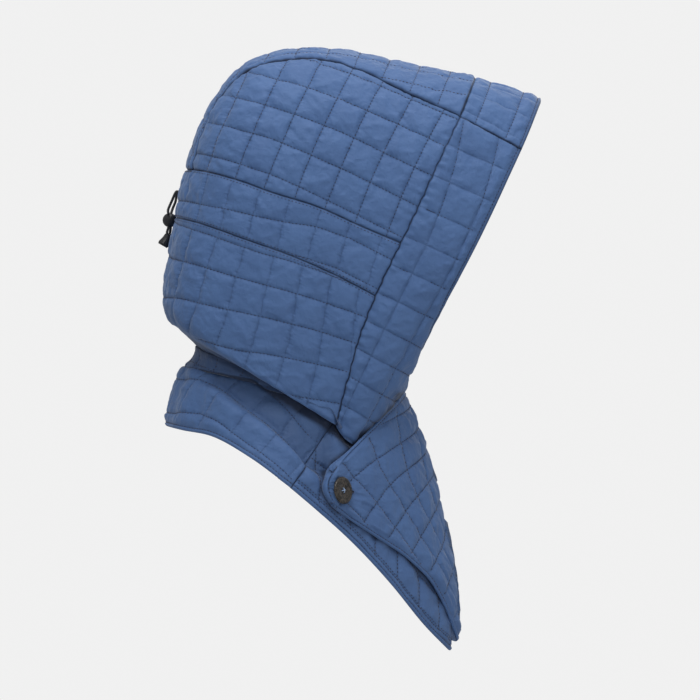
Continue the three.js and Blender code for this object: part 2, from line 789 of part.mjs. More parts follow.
function overPoint(side, v) {
  if (side >= 0) {
    return flapPoint(side, v);
  }
  const p = frontPoint(1 + side, v);
  const nearFront = (1 + side) ** 6;
  p.z += nearFront * (flapPoint(0, v).z - frontPoint(1, v).z);
  return p;
}

function buildFrontOver() {
  const grid = steps(FRONT_ROWS).map((v) => steps(OVER_COLUMNS).map((u) => overPoint(2 * u - 1, v)));
  const lift = gridNormals(grid).normals;
  grid.forEach((row, i) => row.forEach((p, j) => {
    p.addScaledVector(lift[i][j], overOffset(2 * (j / OVER_COLUMNS) - 1, i / FRONT_ROWS));
  }));
  return addCloth('front_left_over', paddedShell(grid, tufted));
}

// First point of a piece's surface met along a ray, with the way the surface faces.
function surfaceHit(mesh, origin, direction) {
  mesh.updateMatrixWorld(true);
  mesh.material.side = THREE.DoubleSide;
  const hit = new THREE.Raycaster(origin, direction.clone().normalize()).intersectObject(mesh)[0];
  mesh.material.side = THREE.FrontSide;
  return { point: hit.point, normal: hit.face.normal.clone() };
}

const wasm = await Module();
wasm.setup();

// Closed solid of a geometry, for cutting.
function solidOf(geometry) {
  const bare = geometry.clone();
  bare.deleteAttribute('normal');
  bare.deleteAttribute('uv');
  const merged = mergeVertices(bare, 1e-4);
  const vertProperties = new Float32Array(merged.attributes.position.array);
  const triVerts = new Uint32Array(merged.index.array);
  return new wasm.Manifold(new wasm.Mesh({ numProp: 3, vertProperties, triVerts }));
}

function cutFrom(mesh, cutters) {
  let solid = solidOf(mesh.geometry);
  cutters.forEach((cutter) => {
    solid = solid.subtract(solidOf(cutter));
  });
  const cut = solid.getMesh();
  mesh.geometry = new THREE.BufferGeometry();
  mesh.geometry.setAttribute('position', new THREE.Float32BufferAttribute(cut.vertProperties, 3));
  mesh.geometry.setIndex(Array.from(cut.triVerts));
  mesh.geometry.computeVertexNormals();
}

// Button, seen square on along its own axis, with its face out.
function buttonFrame(flap) {
  const seen = onForm(BUTTON.x, BUTTON.z);
  const ahead = onForm(BUTTON.x + 8, BUTTON.z);
  const below = onForm(BUTTON.x, BUTTON.z - 8);
  [seen, ahead, below].forEach((p) => {
    p.y = -p.y;
  });
  const along = ahead.sub(seen).normalize();
  const out = below.sub(seen).cross(along).normalize();
  out.multiplyScalar(-sign(out.y));
  const face = surfaceHit(flap, seen.clone().addScaledVector(out, 60), out.clone().negate()).point;
  const up = out.clone().cross(along).normalize();
  const frame = new THREE.Matrix4().makeBasis(along, up, out);
  return { frame, face, out };
}

function placed(geometry, frame, at) {
  return geometry.applyMatrix4(frame.clone().setPosition(at));
}

function buildButton(flap, under) {
  const { frame, face, out } = buttonFrame(flap);
  const edge = BUTTON_PROFILE.map((row) => new THREE.Vector2(BUTTON.radius - row.inFromEdge, row.up));
  const profile = [new THREE.Vector2(0, 0), ...edge, new THREE.Vector2(0, BUTTON.face)];
  const body = new THREE.LatheGeometry(profile, BUTTON_SIDES).rotateX(Math.PI / 2);
  const foot = face.clone().addScaledVector(out, BUTTON.standOff);
  const button = addPiece('button', placed(body, frame, foot), HORN_BROWN, 0.45);
  const holes = [-1, 1].flatMap((a) => [-1, 1].map((b) => {
    const hole = new THREE.CylinderGeometry(
      BUTTON_HOLES.radius, BUTTON_HOLES.radius, 4 * BUTTON.thickness, BUTTON_HOLES.sides,
    );
    hole.rotateX(Math.PI / 2);
    hole.translate(a * BUTTON_HOLES.offset, b * BUTTON_HOLES.offset, 0);
    return placed(hole, frame, foot);
  }));
  cutFrom(button, holes);
  const slit = new THREE.BoxGeometry(BUTTONHOLE.length, BUTTONHOLE.width, 12 * WALL);
  slit.translate(BUTTONHOLE.shift, 0, 0);
  cutFrom(flap, [placed(slit, frame, face)]);
  const cloth = surfaceHit(under, face, out.clone().negate()).point;
  const length = foot.distanceTo(cloth) - 4 * CONTACT_GAP;
  const shank = new THREE.CylinderGeometry(SHANK_RADIUS, SHANK_RADIUS, length, SHANK_SIDES);
  shank.rotateX(Math.PI / 2);
  const middle = cloth.lerp(foot, 0.5);
  addPiece('button_shank', placed(shank, frame, middle), THREAD_BLUE, 0.8);
}

// Round tube along a smooth path.
function cordTube(points) {
  const path = new THREE.CatmullRomCurve3(points);
  const section = new THREE.Shape(steps(CORD_SIDES).slice(0, -1).map((s) => new THREE.Vector2(
    CORD_RADIUS * cos(2 * Math.PI * s),
    CORD_RADIUS * sin(2 * Math.PI * s),
  )));
  const count = Math.max(2, round(path.getLength() / CORD_STEP));
  return new THREE.ExtrudeGeometry(section, { steps: count, extrudePath: path, bevelEnabled: false });
}

// The point just clear of the lock in the direction of a given point.
function besideLock(p) {
  const centre = new THREE.Vector3(CORD_LOCK.x, CORD_LOCK.y, CORD_LOCK.z);
  const way = p.clone().sub(centre).normalize();
  return centre.addScaledVector(way, CORD_LOCK.radius + 1.5 * CONTACT_GAP);
}

function buildDrawcord(band) {
  CORD_EXITS.forEach(({ side, y, z }) => {
    const origin = new THREE.Vector3(-200, y, z);
    const { point, normal } = surfaceHit(band, origin, new THREE.Vector3(1, 0, 0));
    const ring = new THREE.TorusGeometry(EYELET.ring, EYELET.wire, EYELET.wireSides, EYELET.sides);
    const turn = new THREE.Quaternion().setFromUnitVectors(new THREE.Vector3(0, 0, 1), normal);
    ring.applyQuaternion(turn);
    const seat = point.clone().addScaledVector(normal, EYELET.wire + CONTACT_GAP);
    ring.translate(seat.x, seat.y, seat.z);
    addPiece(`eyelet_${side}`, ring, CLOTH_BLUE, 0.8);
    const start = point.clone().addScaledVector(normal, CONTACT_GAP);
    const clear = point.clone().addScaledVector(normal, CORD_STRAIGHT);
    const upper = UPPER_CORDS[side].map((p) => new THREE.Vector3(...p));
    const lower = LOWER_CORDS[side].map((p) => new THREE.Vector3(...p));
    upper[upper.length - 1] = besideLock(upper[upper.length - 1]);
    lower[0] = besideLock(lower[0]);
    addPiece(`cord_${side}_upper`, cordTube([start, clear, ...upper]), CORD_BLACK, 0.85);
    addPiece(`cord_${side}_lower`, cordTube(lower), CORD_BLACK, 0.85);
  });
  const lock = new THREE.SphereGeometry(CORD_LOCK.radius, CORD_LOCK.around, CORD_LOCK.down);
  lock.translate(CORD_LOCK.x, CORD_LOCK.y, CORD_LOCK.z);
  addPiece('cord_lock', lock, LOCK_BLACK, 0.4);
  const foot = CORD_END_PROFILE[CORD_END_PROFILE.length - 1].down;
  const wall = CORD_END_PROFILE.map((row) => new THREE.Vector2(row.radius, -row.down));
  const bell = [new THREE.Vector2(0, 0), ...wall, new THREE.Vector2(0, -foot)].reverse();
  const end = new THREE.LatheGeometry(bell, CORD_END.sides).rotateX(Math.PI / 2);
  end.rotateY(CORD_END.lean * RAD);
  end.translate(CORD_END.x, CORD_END.y, CORD_END.z);
  addPiece('cord_end', end, LOCK_BLACK, 0.5);
}

buildStrip();
buildSidePanels();
const band = buildBand();
buildLowerPanel();
buildNeckBand();
buildBrim();
buildCapeBack();
const under = buildFrontUnder();
const flap = buildFrontOver();
buildButton(flap, under);
buildDrawcord(band);

export default hood;
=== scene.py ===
import itertools
import math

import bpy
import numpy as np
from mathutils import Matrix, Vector


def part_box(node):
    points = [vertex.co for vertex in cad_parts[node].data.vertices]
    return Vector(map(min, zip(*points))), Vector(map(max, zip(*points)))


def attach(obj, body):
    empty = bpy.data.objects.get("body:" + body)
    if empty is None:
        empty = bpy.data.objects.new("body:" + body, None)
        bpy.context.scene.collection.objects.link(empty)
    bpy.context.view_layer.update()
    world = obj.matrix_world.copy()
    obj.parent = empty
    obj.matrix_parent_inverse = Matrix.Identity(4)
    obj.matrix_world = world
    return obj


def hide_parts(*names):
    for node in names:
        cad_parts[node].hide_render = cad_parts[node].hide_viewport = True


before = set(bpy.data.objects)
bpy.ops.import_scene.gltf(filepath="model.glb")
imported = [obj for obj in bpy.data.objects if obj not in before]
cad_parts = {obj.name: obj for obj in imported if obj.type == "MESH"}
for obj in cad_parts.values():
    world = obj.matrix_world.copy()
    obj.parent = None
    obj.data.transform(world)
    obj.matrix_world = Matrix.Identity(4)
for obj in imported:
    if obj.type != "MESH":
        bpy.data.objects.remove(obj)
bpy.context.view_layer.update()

# Sizes are in millimetres until a mesh is made. +X is the way the wearer faces, +Y the
# wearer's left, +Z up, and the origin is the top of the head just inside the crown.
MM = 0.001
PHOTO_CENTRE = (32.0, -238.4)
PHOTO_SPAN = 560.0

WALL = 3.6
QUILT_PITCH = 25.0
MESH_STEP = 1.15
STITCH_PITCH = 3.0


def table(names, *rows):
    """A short table with named columns."""
    return dict(zip(names.split(), np.array(rows, float).T))


# Crown: bows that all meet at one hinge point at each side of the neck.
HINGE_X, HINGE_Z, HINGE_HALF_WIDTH = 20.8, -298.4, 76.0
BOW_POWER = 3.3
CROWN_OUTLINE = table(
    "angle reach half_width",
    (60, 304, 104), (66, 300, 105), (70, 296.5, 106), (75, 293.4, 107), (80, 293.8, 107),
    (90, 298.8, 107), (95, 301.2, 107), (100, 300.8, 107), (105, 295, 107), (110, 279.2, 106),
    (115, 259, 105), (120, 237.4, 103), (125, 219.2, 102), (130, 202.5, 101), (135, 188.5, 100),
    (140, 178, 98), (145, 167, 96), (147, 159, 95), (148.5, 148, 92), (150, 131.8, 85),
    (151.5, 124, 77), (154, 120, 72),
)
FOLD_ANGLE = 148.6
UNDERSIDE_ANGLE = 151.3
STRIP_HALF_WIDTH = table(
    "angle half",
    (66, 76), (70, 74), (75, 71), (80, 67), (86, 59), (92, 52), (98, 50), (105, 46), (112, 43),
    (120, 50),
)
STRIP_FRONT_ANGLE = 68.15
STRIP_SHARE = 0.2
# The side panel's first column starts this share along the band, clear of the strip's corner.
CORNER_CUT = 0.006
# Points along a row before it is cut to shares of its length, and how they crowd to the back.
ROW_POINTS, ROW_CROWDING = 400, 2.6
NECK_BAND_RISE = 2.5
NECK_BAND_HOLLOW = 0.96

# Seams seen from the side.
BRIM_SEAM = table(
    "z x",
    (-298.4, 20.8), (-282, 24.6), (-259, 31), (-228, 39.6), (-186, 56.6), (-138, 80), (-86, 104),
    (-55, 118.6), (-20.5, 132),
)
BAND_TOP = table(
    "x z",
    (-112, -92.5), (-88, -95.5), (-56, -104), (-32, -112.8), (8, -125.6), (40, -140), (80, -157),
)
BAND_BOTTOM = table(
    "x z", (-116, -130.4), (-88, -137.6), (-52, -150.4), (-8, -166.4), (32, -184.8), (60, -200),
)
NECK_SEAM = table(
    "x z",
    (-106, -250), (-80, -254.5), (-60, -258), (-41, -262), (-16, -269), (6, -279),
    (20, -289), (28, -309),
)

# Brim: a loft from the brim seam to the front edge around the face.
BRIM_EDGE = table(
    "part x z",
    (0, 75.2, -271), (0.08, 81.6, -256.5), (0.3, 103.2, -213), (0.55, 132.2, -157),
    (0.78, 158.6, -101), (0.92, 175.4, -63.5), (1, 185, -38.8),
)
EDGE_HALF_WIDTH = 98.0
EDGE_POWER = 2.9
EDGE_CHIN_NARROWING = 0.92
CHIN_BULGE = 13.0
NECKLINE_GAP = 0.5
NECKLINE_TUCK = 6.0
BRIM_TOP_EDGE_SHARE = 0.258

# Shoulder form that the cape, the neck and the front lie on: level slices, top to bottom.
FORM = table(
    "z back front widest half nose",
    (-215, -84, 60, -20, 60, 1.1), (-234, -92, 66, -20, 66, 1.1), (-253, -102, 70, -20, 72, 1.1),
    (-272, -108.5, 75, -20, 77, 1.15), (-300, -116.5, 83, -21, 86, 1.3),
    (-330, -121, 92.5, -24, 98, 1.6), (-370, -124, 102.5, -29, 110, 1.9),
    (-410, -124, 109.5, -32, 115, 1.9), (-450, -124, 113, -34, 118, 1.9),
    (-490, -124, 114, -35, 118, 1.9),
)
FORM_FRONT_SPREAD = 1.12
FORM_BACK_POWER = 0.87
NECKLINE = table(
    "part x z",
    (0, 20.8, -298.4), (0.2, 28, -309), (0.4, 38, -313.5), (0.55, 48, -308), (0.75, 60, -296.5),
    (0.9, 69, -284), (1, 73.4, -272.5),
)
HEM = table(
    "x z",
    (-118, -298.4), (-104, -301.5), (-78, -306.5), (-49.6, -321.6), (-20.8, -342.4), (8, -366.4),
    (36.8, -392.8), (65.6, -424), (94.4, -459.2), (116, -481),
)
CAPE_SEAM = table("z x", (-288, 25.6), (-302.4, 16), (-328, -1.2), (-347.4, -14.3))
OVER_LIFT = 6.2
FLAP_EDGE_LIFT = 2.4
OVER_RISE = (-0.55, -0.1)
UNDER_REACH = 0.985
FLAP_TOP = table(
    "x z",
    (9, -344), (16, -333.6), (32, -318.4), (46.4, -304), (62.4, -288), (74.4, -275.2), (80, -267),
)
FLAP_BOTTOM = table(
    "x z",
    (9, -351), (16.8, -362.4), (28, -371.2), (54.4, -388.8), (81.6, -408.8), (99.2, -430.4),
    (109, -453), (114, -471),
)
FLAP_END = table(
    "part x z",
    (0, 16, -333.6), (0.33, 10.4, -341.5), (0.55, 8.8, -348), (0.78, 11.2, -355.2),
    (1, 16.8, -362.4),
)
FLAP_INSET = table(
    "z inset",
    (-480, 0), (-450, 1.2), (-410, 2.2), (-370, 3.0), (-330, 3.6), (-300, 5.0), (-262, 8.0),
)
CREASE = table(
    "x z",
    (-88, -261.6), (-72, -268.8), (-56, -280.8), (-36, -294.4), (-20, -308), (-8, -320.8),
    (-1.6, -328.8), (12, -337.6), (28, -341),
)
LOCK_HOLLOW = {"y": 11.0, "z": -134.0, "radius": 16.0, "depth": 4.8}

# Elastic cord: route points through the band, the lock and down to the cord end, in metres.
CORD_DIAMETER = 0.0022
CORD_ROUTES = {
    "right": [
        (-0.1106, -0.0064, -0.1196), (-0.1130, -0.0014, -0.1248), (-0.1137, 0.0042, -0.1272),
        (-0.1134, 0.0082, -0.1291), (-0.1130, 0.0096, -0.1344), (-0.1134, 0.0090, -0.1400),
        (-0.1143, 0.0090, -0.1432), (-0.1145, 0.0093, -0.1451), (-0.1140, 0.0096, -0.1475),
    ],
    "left": [
        (-0.1078, 0.0134, -0.1194), (-0.1098, 0.0146, -0.1244), (-0.1112, 0.0136, -0.1289),
        (-0.1114, 0.0128, -0.1344), (-0.1116, 0.0127, -0.1398), (-0.1120, 0.0128, -0.1432),
        (-0.1126, 0.0123, -0.1460), (-0.1130, 0.0120, -0.1480),
    ],
}
MIDDLE_X, MIDDLE_Z = -10.0, -170.0


# Curves and roots
def column(rows, given, wanted):
    """A smooth curve through one column of a table."""
    t, v = rows[given], rows[wanted]
    if t[0] > t[-1]:
        t, v = t[::-1], v[::-1]
    h = np.diff(t)
    rate = np.diff(v) / h
    slope = np.empty_like(v)
    slope[0], slope[-1] = rate[0], rate[-1]
    slope[1:-1] = (rate[:-1] * h[1:] + rate[1:] * h[:-1]) / (h[1:] + h[:-1])

    def curve(value):
        value = np.asarray(value, float)
        i = np.clip(np.searchsorted(t, value) - 1, 0, len(t) - 2)
        s = np.clip((value - t[i]) / h[i], 0, 1)
        r = 1 - s
        start = (1 + 2 * s) * r * r * v[i] + s * r * r * h[i] * slope[i]
        return start + s * s * (3 - 2 * s) * v[i + 1] - s * s * r * h[i] * slope[i + 1]

    return curve


def lerp(a, b, t):
    return a + (b - a) * t


def smooth(x):
    x = np.clip(x, 0, 1)
    return x * x * (3 - 2 * x)


def rise(x, low, high):
    """0 up to one value, 1 from another on, and smooth between the two."""
    return smooth((x - low) / (high - low))


def bell(x, width):
    return np.exp(-(x / width) ** 2)


def root_between(low, high, f):
    """Where a function changes sign between two values, for whole arrays at once."""
    a, b = np.array(low, float), np.array(high, float)
    start = np.sign(f(a))
    for _ in range(40):
        middle = (a + b) / 2
        same = np.sign(f(middle)) == start
        a, b = np.where(same, middle, a), np.where(same, b, middle)
    return (a + b) / 2


def xyz(x, y, z):
    return np.stack(np.broadcast_arrays(x, y, z), axis=-1).astype(float)


def unit(vectors):
    return vectors / np.maximum(np.linalg.norm(vectors, axis=-1, keepdims=True), 1e-9)


def running(steps, axis=0):
    """The running total of steps along an axis, from 0."""
    total = np.cumsum(steps, axis=axis)
    return np.concatenate([np.zeros_like(total.take([0], axis)), total], axis=axis)


def distances(points):
    """How far along a polyline each of its points is."""
    return running(np.linalg.norm(np.diff(points, axis=0), axis=1))


def sampled(line, far, at):
    return np.stack([np.interp(at, far, line[:, k]) for k in range(3)], axis=-1)


def along_length(points, parts):
    """Points at given shares of a polyline's length."""
    far = distances(points)
    return sampled(points, far, np.asarray(parts) * far[-1])


reach_at = column(CROWN_OUTLINE, "angle", "reach")
width_at = column(CROWN_OUTLINE, "angle", "half_width")
strip_half_at = column(STRIP_HALF_WIDTH, "angle", "half")
smooth_seam_x = column(BRIM_SEAM, "z", "x")
cape_seam_x = column(CAPE_SEAM, "z", "x")
flap_inset = column(FLAP_INSET, "z", "inset")
band_top_z, band_bottom_z, neck_seam_z, neckline_z, hem_z, flap_top_z, flap_bottom_z, crease_z = (
    column(rows, "x", "z")
    for rows in (BAND_TOP, BAND_BOTTOM, NECK_SEAM, NECKLINE, HEM, FLAP_TOP, FLAP_BOTTOM, CREASE)
)
(edge_x, edge_z), (neckline_part_x, neckline_part_z), (flap_end_x, flap_end_z) = (
    (column(rows, "part", "x"), column(rows, "part", "z"))
    for rows in (BRIM_EDGE, NECKLINE, FLAP_END)
)
form_at = {name: column(FORM, "z", name) for name in ("back", "front", "widest", "half", "nose")}

# Size, length and start of the small waves that gather the brim seam.
SEAM_WAVES = ((0.2, 1.1, 0.0), (0.3, 2.3, 1.0))


def brim_seam_x(z):
    """The brim seam, gathered into small waves between its two ends."""
    z = np.asarray(z, float)
    wave = sum(size * np.sin(z / pitch + start) for size, pitch, start in SEAM_WAVES)
    return smooth_seam_x(z) + wave * rise(-z, 40, 60) * rise(z, -290, -265)


# Crown surface
def crown_polar(x, z):
    angle = np.degrees(np.arctan2(z - HINGE_Z, x - HINGE_X))
    return angle, np.hypot(x - HINGE_X, z - HINGE_Z) / reach_at(angle)


def narrowing(angle, share):
    return 1 - (1 - HINGE_HALF_WIDTH / width_at(angle)) * (1 - share) ** 2


def crown_point(x, z):
    angle, share = crown_polar(x, z)
    share = np.clip(share, 0, 1)
    bow = (1 - share ** BOW_POWER) ** (1 / BOW_POWER)
    return xyz(x, width_at(angle) * bow * narrowing(angle, share), z)


def bow_point(angle, turn):
    share = np.cos(turn) ** (2 / BOW_POWER)
    y = width_at(angle) * np.sin(turn) ** (2 / BOW_POWER) * narrowing(angle, share)
    r = share * reach_at(angle)
    rad = np.radians(angle)
    return xyz(HINGE_X + r * np.cos(rad), y, HINGE_Z + r * np.sin(rad))


def crown_row(height_at):
    """One half row round the crown, from the centre of the back to the brim seam."""
    back = root_between(-135, -70, lambda x: crown_polar(x, height_at(x))[1] - 1)
    front = root_between(0, 120, lambda x: x - brim_seam_x(height_at(x)))
    x = lerp(back, front, np.linspace(0, 1, ROW_POINTS) ** ROW_CROWDING)
    points = crown_point(x, height_at(x))
    points[0, 1] = 0
    return points


def both_sides(points, u):
    """A whole row from a half row; u runs from -1 to 1, and 1 is the wearer's right."""
    row = along_length(points, np.abs(u))
    row[:, 1] *= -np.sign(u)
    return row


def strip_turn(angle, across):
    half = strip_half_at(angle) / width_at(angle)
    return np.arcsin(half ** (BOW_POWER / 2)) * np.abs(across) ** (BOW_POWER / 2)


STRIP_LEAST, STRIP_BACK_LIMIT = 20, 124.0


def strip_point(across, along):
    def meets_band(angle):
        p = bow_point(angle, strip_turn(angle, across))
        return p[..., 2] - band_top_z(p[..., 0])

    across = np.asarray(across, float)
    first = np.full(across.shape, STRIP_FRONT_ANGLE + STRIP_LEAST)
    last = root_between(first, np.full(across.shape, STRIP_BACK_LIMIT), meets_band)
    angle = lerp(last, STRIP_FRONT_ANGLE, along)
    p = bow_point(angle, strip_turn(angle, across))
    p[..., 1] *= -np.sign(across)
    return p


band_row = crown_row(band_top_z)
strip_front_corner = bow_point(STRIP_FRONT_ANGLE, strip_turn(STRIP_FRONT_ANGLE, 1.0))
strip_back_corner = strip_point(np.array([-1.0]), 0.0)[0]
strip_back_angle = math.degrees(
    math.atan2(strip_back_corner[2] - HINGE_Z, strip_back_corner[0] - HINGE_X)
)


def strip_surface(u, v):
    across, along = np.meshgrid(2 * u - 1, v)
    return strip_point(across, along)


def side_line(along, parts):
    along = max(along, CORNER_CUT)
    up = np.linspace(0, 1, 200)
    bottom = along_length(band_row, [lerp(STRIP_SHARE, 1, along)])[0]
    angle = lerp(strip_back_angle, STRIP_FRONT_ANGLE, along)
    top = bow_point(angle, strip_turn(angle, 1.0))
    front = lerp(band_row[-1], strip_front_corner, up[:, None])
    bend = along ** 3 * (brim_seam_x(front[:, 2]) - front[:, 0])
    line = crown_point(lerp(bottom[0], top[0], up) + bend, lerp(bottom[2], top[2], up))
    return along_length(line, parts)


def side_surface(u, v):
    grid = np.stack([side_line(a, v) for a in u], axis=1)
    grid[..., 1] *= -1
    return grid


def lock_hollow(points):
    away = (points[..., 1] - LOCK_HOLLOW["y"]) ** 2 + (points[..., 2] - LOCK_HOLLOW["z"]) ** 2
    push = LOCK_HOLLOW["depth"] * np.exp(-away / LOCK_HOLLOW["radius"] ** 2)
    points[..., 0] += np.where(points[..., 0] > -80, 0, push)
    return points


def band_surface(u, v):
    rows = []
    for t in v:
        row = crown_row(lambda x: lerp(band_top_z(x), band_bottom_z(x), t))
        rows.append(both_sides(row, 2 * u - 1))
    return lock_hollow(np.stack(rows))


def ray_z(angle):
    return lambda x: HINGE_Z + (x - HINGE_X) * math.tan(math.radians(angle))


LOWER_MAIN_SHARE = 0.86


def lower_surface(u, v):
    rows = []
    for t in v:
        if t <= LOWER_MAIN_SHARE:
            s = t / LOWER_MAIN_SHARE
            row = crown_row(lambda x: lerp(band_bottom_z(x), ray_z(FOLD_ANGLE)(x), s))
        else:
            s = (t - LOWER_MAIN_SHARE) / (1 - LOWER_MAIN_SHARE)
            row = crown_row(ray_z(lerp(FOLD_ANGLE, UNDERSIDE_ANGLE, s)))
        rows.append(both_sides(row, 2 * u - 1))
    return lock_hollow(np.stack(rows))


# Shoulder form and what lies on it
def form_point(turn, z):
    turn, z = np.broadcast_arrays(np.asarray(turn, float), np.asarray(z, float))
    c, s = np.cos(np.radians(turn)), np.abs(np.sin(np.radians(turn)))
    widest, half = form_at["widest"](z), form_at["half"](z)
    front = widest + (form_at["front"](z) - widest) * np.maximum(c, 0) ** form_at["nose"](z)
    back = widest - (widest - form_at["back"](z)) * np.abs(np.minimum(c, 0)) ** FORM_BACK_POWER
    power = np.where(c >= 0, FORM_FRONT_SPREAD, FORM_BACK_POWER)
    return xyz(np.where(c >= 0, front, back), half * s ** power, z)


def crossing(turn, curve_z, top, bottom):
    turn = np.asarray(turn, float)
    low, high = np.full(turn.shape, float(top)), np.full(turn.shape, float(bottom))
    return root_between(low, high, lambda z: z - curve_z(form_point(turn, z)[..., 0]))


def form_turn(x, z):
    x = np.asarray(x, float)
    low, high = np.full(x.shape, 0.01), np.full(x.shape, 179.9)
    return root_between(low, high, lambda turn: form_point(turn, z)[..., 0] - x)


def seam_turn(z):
    return form_turn(cape_seam_x(z), z)


NECK_END_X, NECK_END_Z = NECKLINE["x"][1], NECKLINE["z"][1]
neck_end_turn = float(form_turn(NECK_END_X - 4, NECK_END_Z))


def front_top_z(x):
    return np.where(x < NECK_END_X, neck_seam_z(x), neckline_z(x))


def neck_surface(u, v):
    side = 2 * u - 1
    top = both_sides(crown_row(ray_z(UNDERSIDE_ANGLE)), side)
    turn = lerp(180, neck_end_turn, np.abs(side))
    bottom = form_point(turn, crossing(turn, neck_seam_z, -215, -330))
    bottom[:, 1] *= -np.sign(side)
    top[:, 2] += NECK_BAND_RISE
    inner = (top + bottom) / 2
    inner[:, 0] = MIDDLE_X + NECK_BAND_HOLLOW * (inner[:, 0] - MIDDLE_X)
    inner[:, 1] *= NECK_BAND_HOLLOW
    return np.stack([lerp(lerp(top, inner, t), lerp(inner, bottom, t), t) for t in v])


# The share of a panel beside the cape seam that is drawn to the seam's own heights.
SEAM_PULL = 0.12


def drawn_to_seam(part, z0, away, turn, ends):
    """Heights from the upper to the lower edge, drawn to the seam's own height beside it."""
    middle = lerp(*ends(turn), part)
    level = middle + (z0 - lerp(*ends(seam_turn(z0)), part)) * (1 - away)
    return lerp(lerp(z0, middle, away), level, rise(part, 0.5, 0.9))


def cape_ends(turn):
    return crossing(turn, neck_seam_z, -215, -345), crossing(turn, hem_z, -280, -495)


def cape_surface(u, v):
    side, part = np.meshgrid(2 * u - 1, v)
    z0 = lerp(CAPE_SEAM["z"][0], CAPE_SEAM["z"][-1], part)
    turn = lerp(180, seam_turn(z0), np.abs(side))
    away = smooth((1 - np.abs(side)) / SEAM_PULL)
    z = drawn_to_seam(part, z0, away, turn, cape_ends)
    p = form_point(turn, np.maximum(z, lerp(*cape_ends(turn), part)))
    p[..., 1] *= -np.sign(side)
    return p


def front_point(u, v, tuck=0.0):
    z0 = lerp(CAPE_SEAM["z"][0], CAPE_SEAM["z"][-1], v)
    turn = lerp(seam_turn(z0), 0, u)

    def ends(turn):
        top = crossing(turn, front_top_z, -262, -335)
        return top - NECKLINE_GAP + tuck, crossing(turn, hem_z, -300, -495)

    return form_point(turn, drawn_to_seam(v, z0, smooth(u / SEAM_PULL), turn, ends))


def under_surface(u, v):
    across, down = np.meshgrid(u * UNDER_REACH, v)
    p = front_point(across, down, NECKLINE_TUCK)
    p[..., 1] *= -1
    return p


def flap_point(u, v):
    end_turn = form_turn(flap_end_x(v), flap_end_z(v))
    first = form_turn(FLAP_END["x"][0], FLAP_END["z"][0])
    last = form_turn(FLAP_END["x"][-1], FLAP_END["z"][-1])
    top = crossing(u * first, flap_top_z, -250, -360)
    low = crossing(u * last, flap_bottom_z, -330, -480)
    straight = lerp(FLAP_END["z"][0], FLAP_END["z"][-1], v)
    p = form_point(u * end_turn, lerp(top, low, v) + u ** 3 * (flap_end_z(v) - straight))
    p[..., 1] *= -1
    return p


def over_surface(u, v):
    side, down = np.meshgrid(2 * u - 1, v)
    left = front_point(np.clip(1 + side, 0, 1), down, NECKLINE_TUCK)
    middle = front_point(np.ones_like(v), v, NECKLINE_TUCK)
    centre = flap_point(np.zeros_like(v), v)[:, 2] - middle[:, 2]
    left[..., 2] += np.clip(1 + side, 0, 1) ** 6 * centre[:, None]
    right = flap_point(np.clip(side, 0, 1), down)
    grid = np.where((side < 0)[..., None], left, right)
    lift = rise(side, *OVER_RISE) * (OVER_LIFT + FLAP_EDGE_LIFT * (1 - down) ** 4)
    lifted = grid + grid_normals(grid)[0] * lift[..., None]
    lifted[..., 0] -= flap_inset(lifted[..., 2]) * rise(lifted[..., 0], -20, 80)
    return lifted


# Brim
def brim_row(across):
    part = 1 - np.linspace(0, 1, ROW_POINTS) ** 2
    seam_z = lerp(BRIM_SEAM["z"][0], BRIM_SEAM["z"][-1], part)
    seam = crown_point(brim_seam_x(seam_z), seam_z)
    bow = (1 - part ** EDGE_POWER) ** (1 / EDGE_POWER)
    half = EDGE_HALF_WIDTH * bow * (1 - EDGE_CHIN_NARROWING * (1 - part) ** 4)
    p = lerp(seam, xyz(edge_x(part), half, edge_z(part)), across)
    p[:, 1] += CHIN_BULGE * 4 * across * (1 - across) * (1 - part) ** 2 * part ** 0.5
    chin_x, chin_z = neckline_part_x(across), neckline_part_z(across)
    chin = form_point(form_turn(chin_x, chin_z), chin_z)
    p = p + (chin - p[-1]) * ((1 - part) ** 5)[:, None]
    p[0, 1] = 0
    return p


first_row = brim_row(0.0)
shares = np.linspace(0, 1, 2001)
dense = along_length(first_row, shares)
brim_split_at_seam = float(np.interp(strip_front_corner[1], dense[:500, 1], shares[:500]))
brim_line_start = along_length(first_row, [brim_split_at_seam])[0]
brim_line_end = along_length(brim_row(1.0), [BRIM_TOP_EDGE_SHARE])[0]


def brim_split(across):
    """Share of a row where the brim's side seam crosses it: straight as seen from the side."""
    shares = np.linspace(0.12, 0.5, ROW_POINTS)
    row = along_length(brim_row(across), shares)
    way = brim_line_end - brim_line_start
    above = (row[:, 2] - brim_line_start[2]) * way[0] - (row[:, 0] - brim_line_start[0]) * way[2]
    straight = float(np.interp(0, -above, shares))
    easy = lerp(brim_split_at_seam, BRIM_TOP_EDGE_SHARE, across)
    return lerp(easy, straight, smooth(across / 0.1) * smooth((1 - across) / 0.1))


def brim_top_surface(u, v):
    rows = []
    for t in v:
        half = along_length(brim_row(t), np.abs(2 * u - 1) * brim_split(t))
        half[:, 1] *= -np.sign(2 * u - 1)
        rows.append(half)
    return np.stack(rows)


def brim_side_surface(u, v):
    grid = np.stack([along_length(brim_row(t), lerp(brim_split(t), 1, u)) for t in v])
    grid[..., 1] *= -1
    return grid


# Grids and their measures
def grid_normals(grid):
    """Normals that point away from the hood's middle, and the sign that turned them so."""
    normal = unit(np.cross(np.gradient(grid, axis=0), np.gradient(grid, axis=1)))
    away = normal[..., 0] * (grid[..., 0] - MIDDLE_X) + normal[..., 1] * grid[..., 1]
    away += normal[..., 2] * np.maximum(grid[..., 2] - MIDDLE_Z, 0)
    turn = np.sign(away.sum())
    return normal * turn, turn


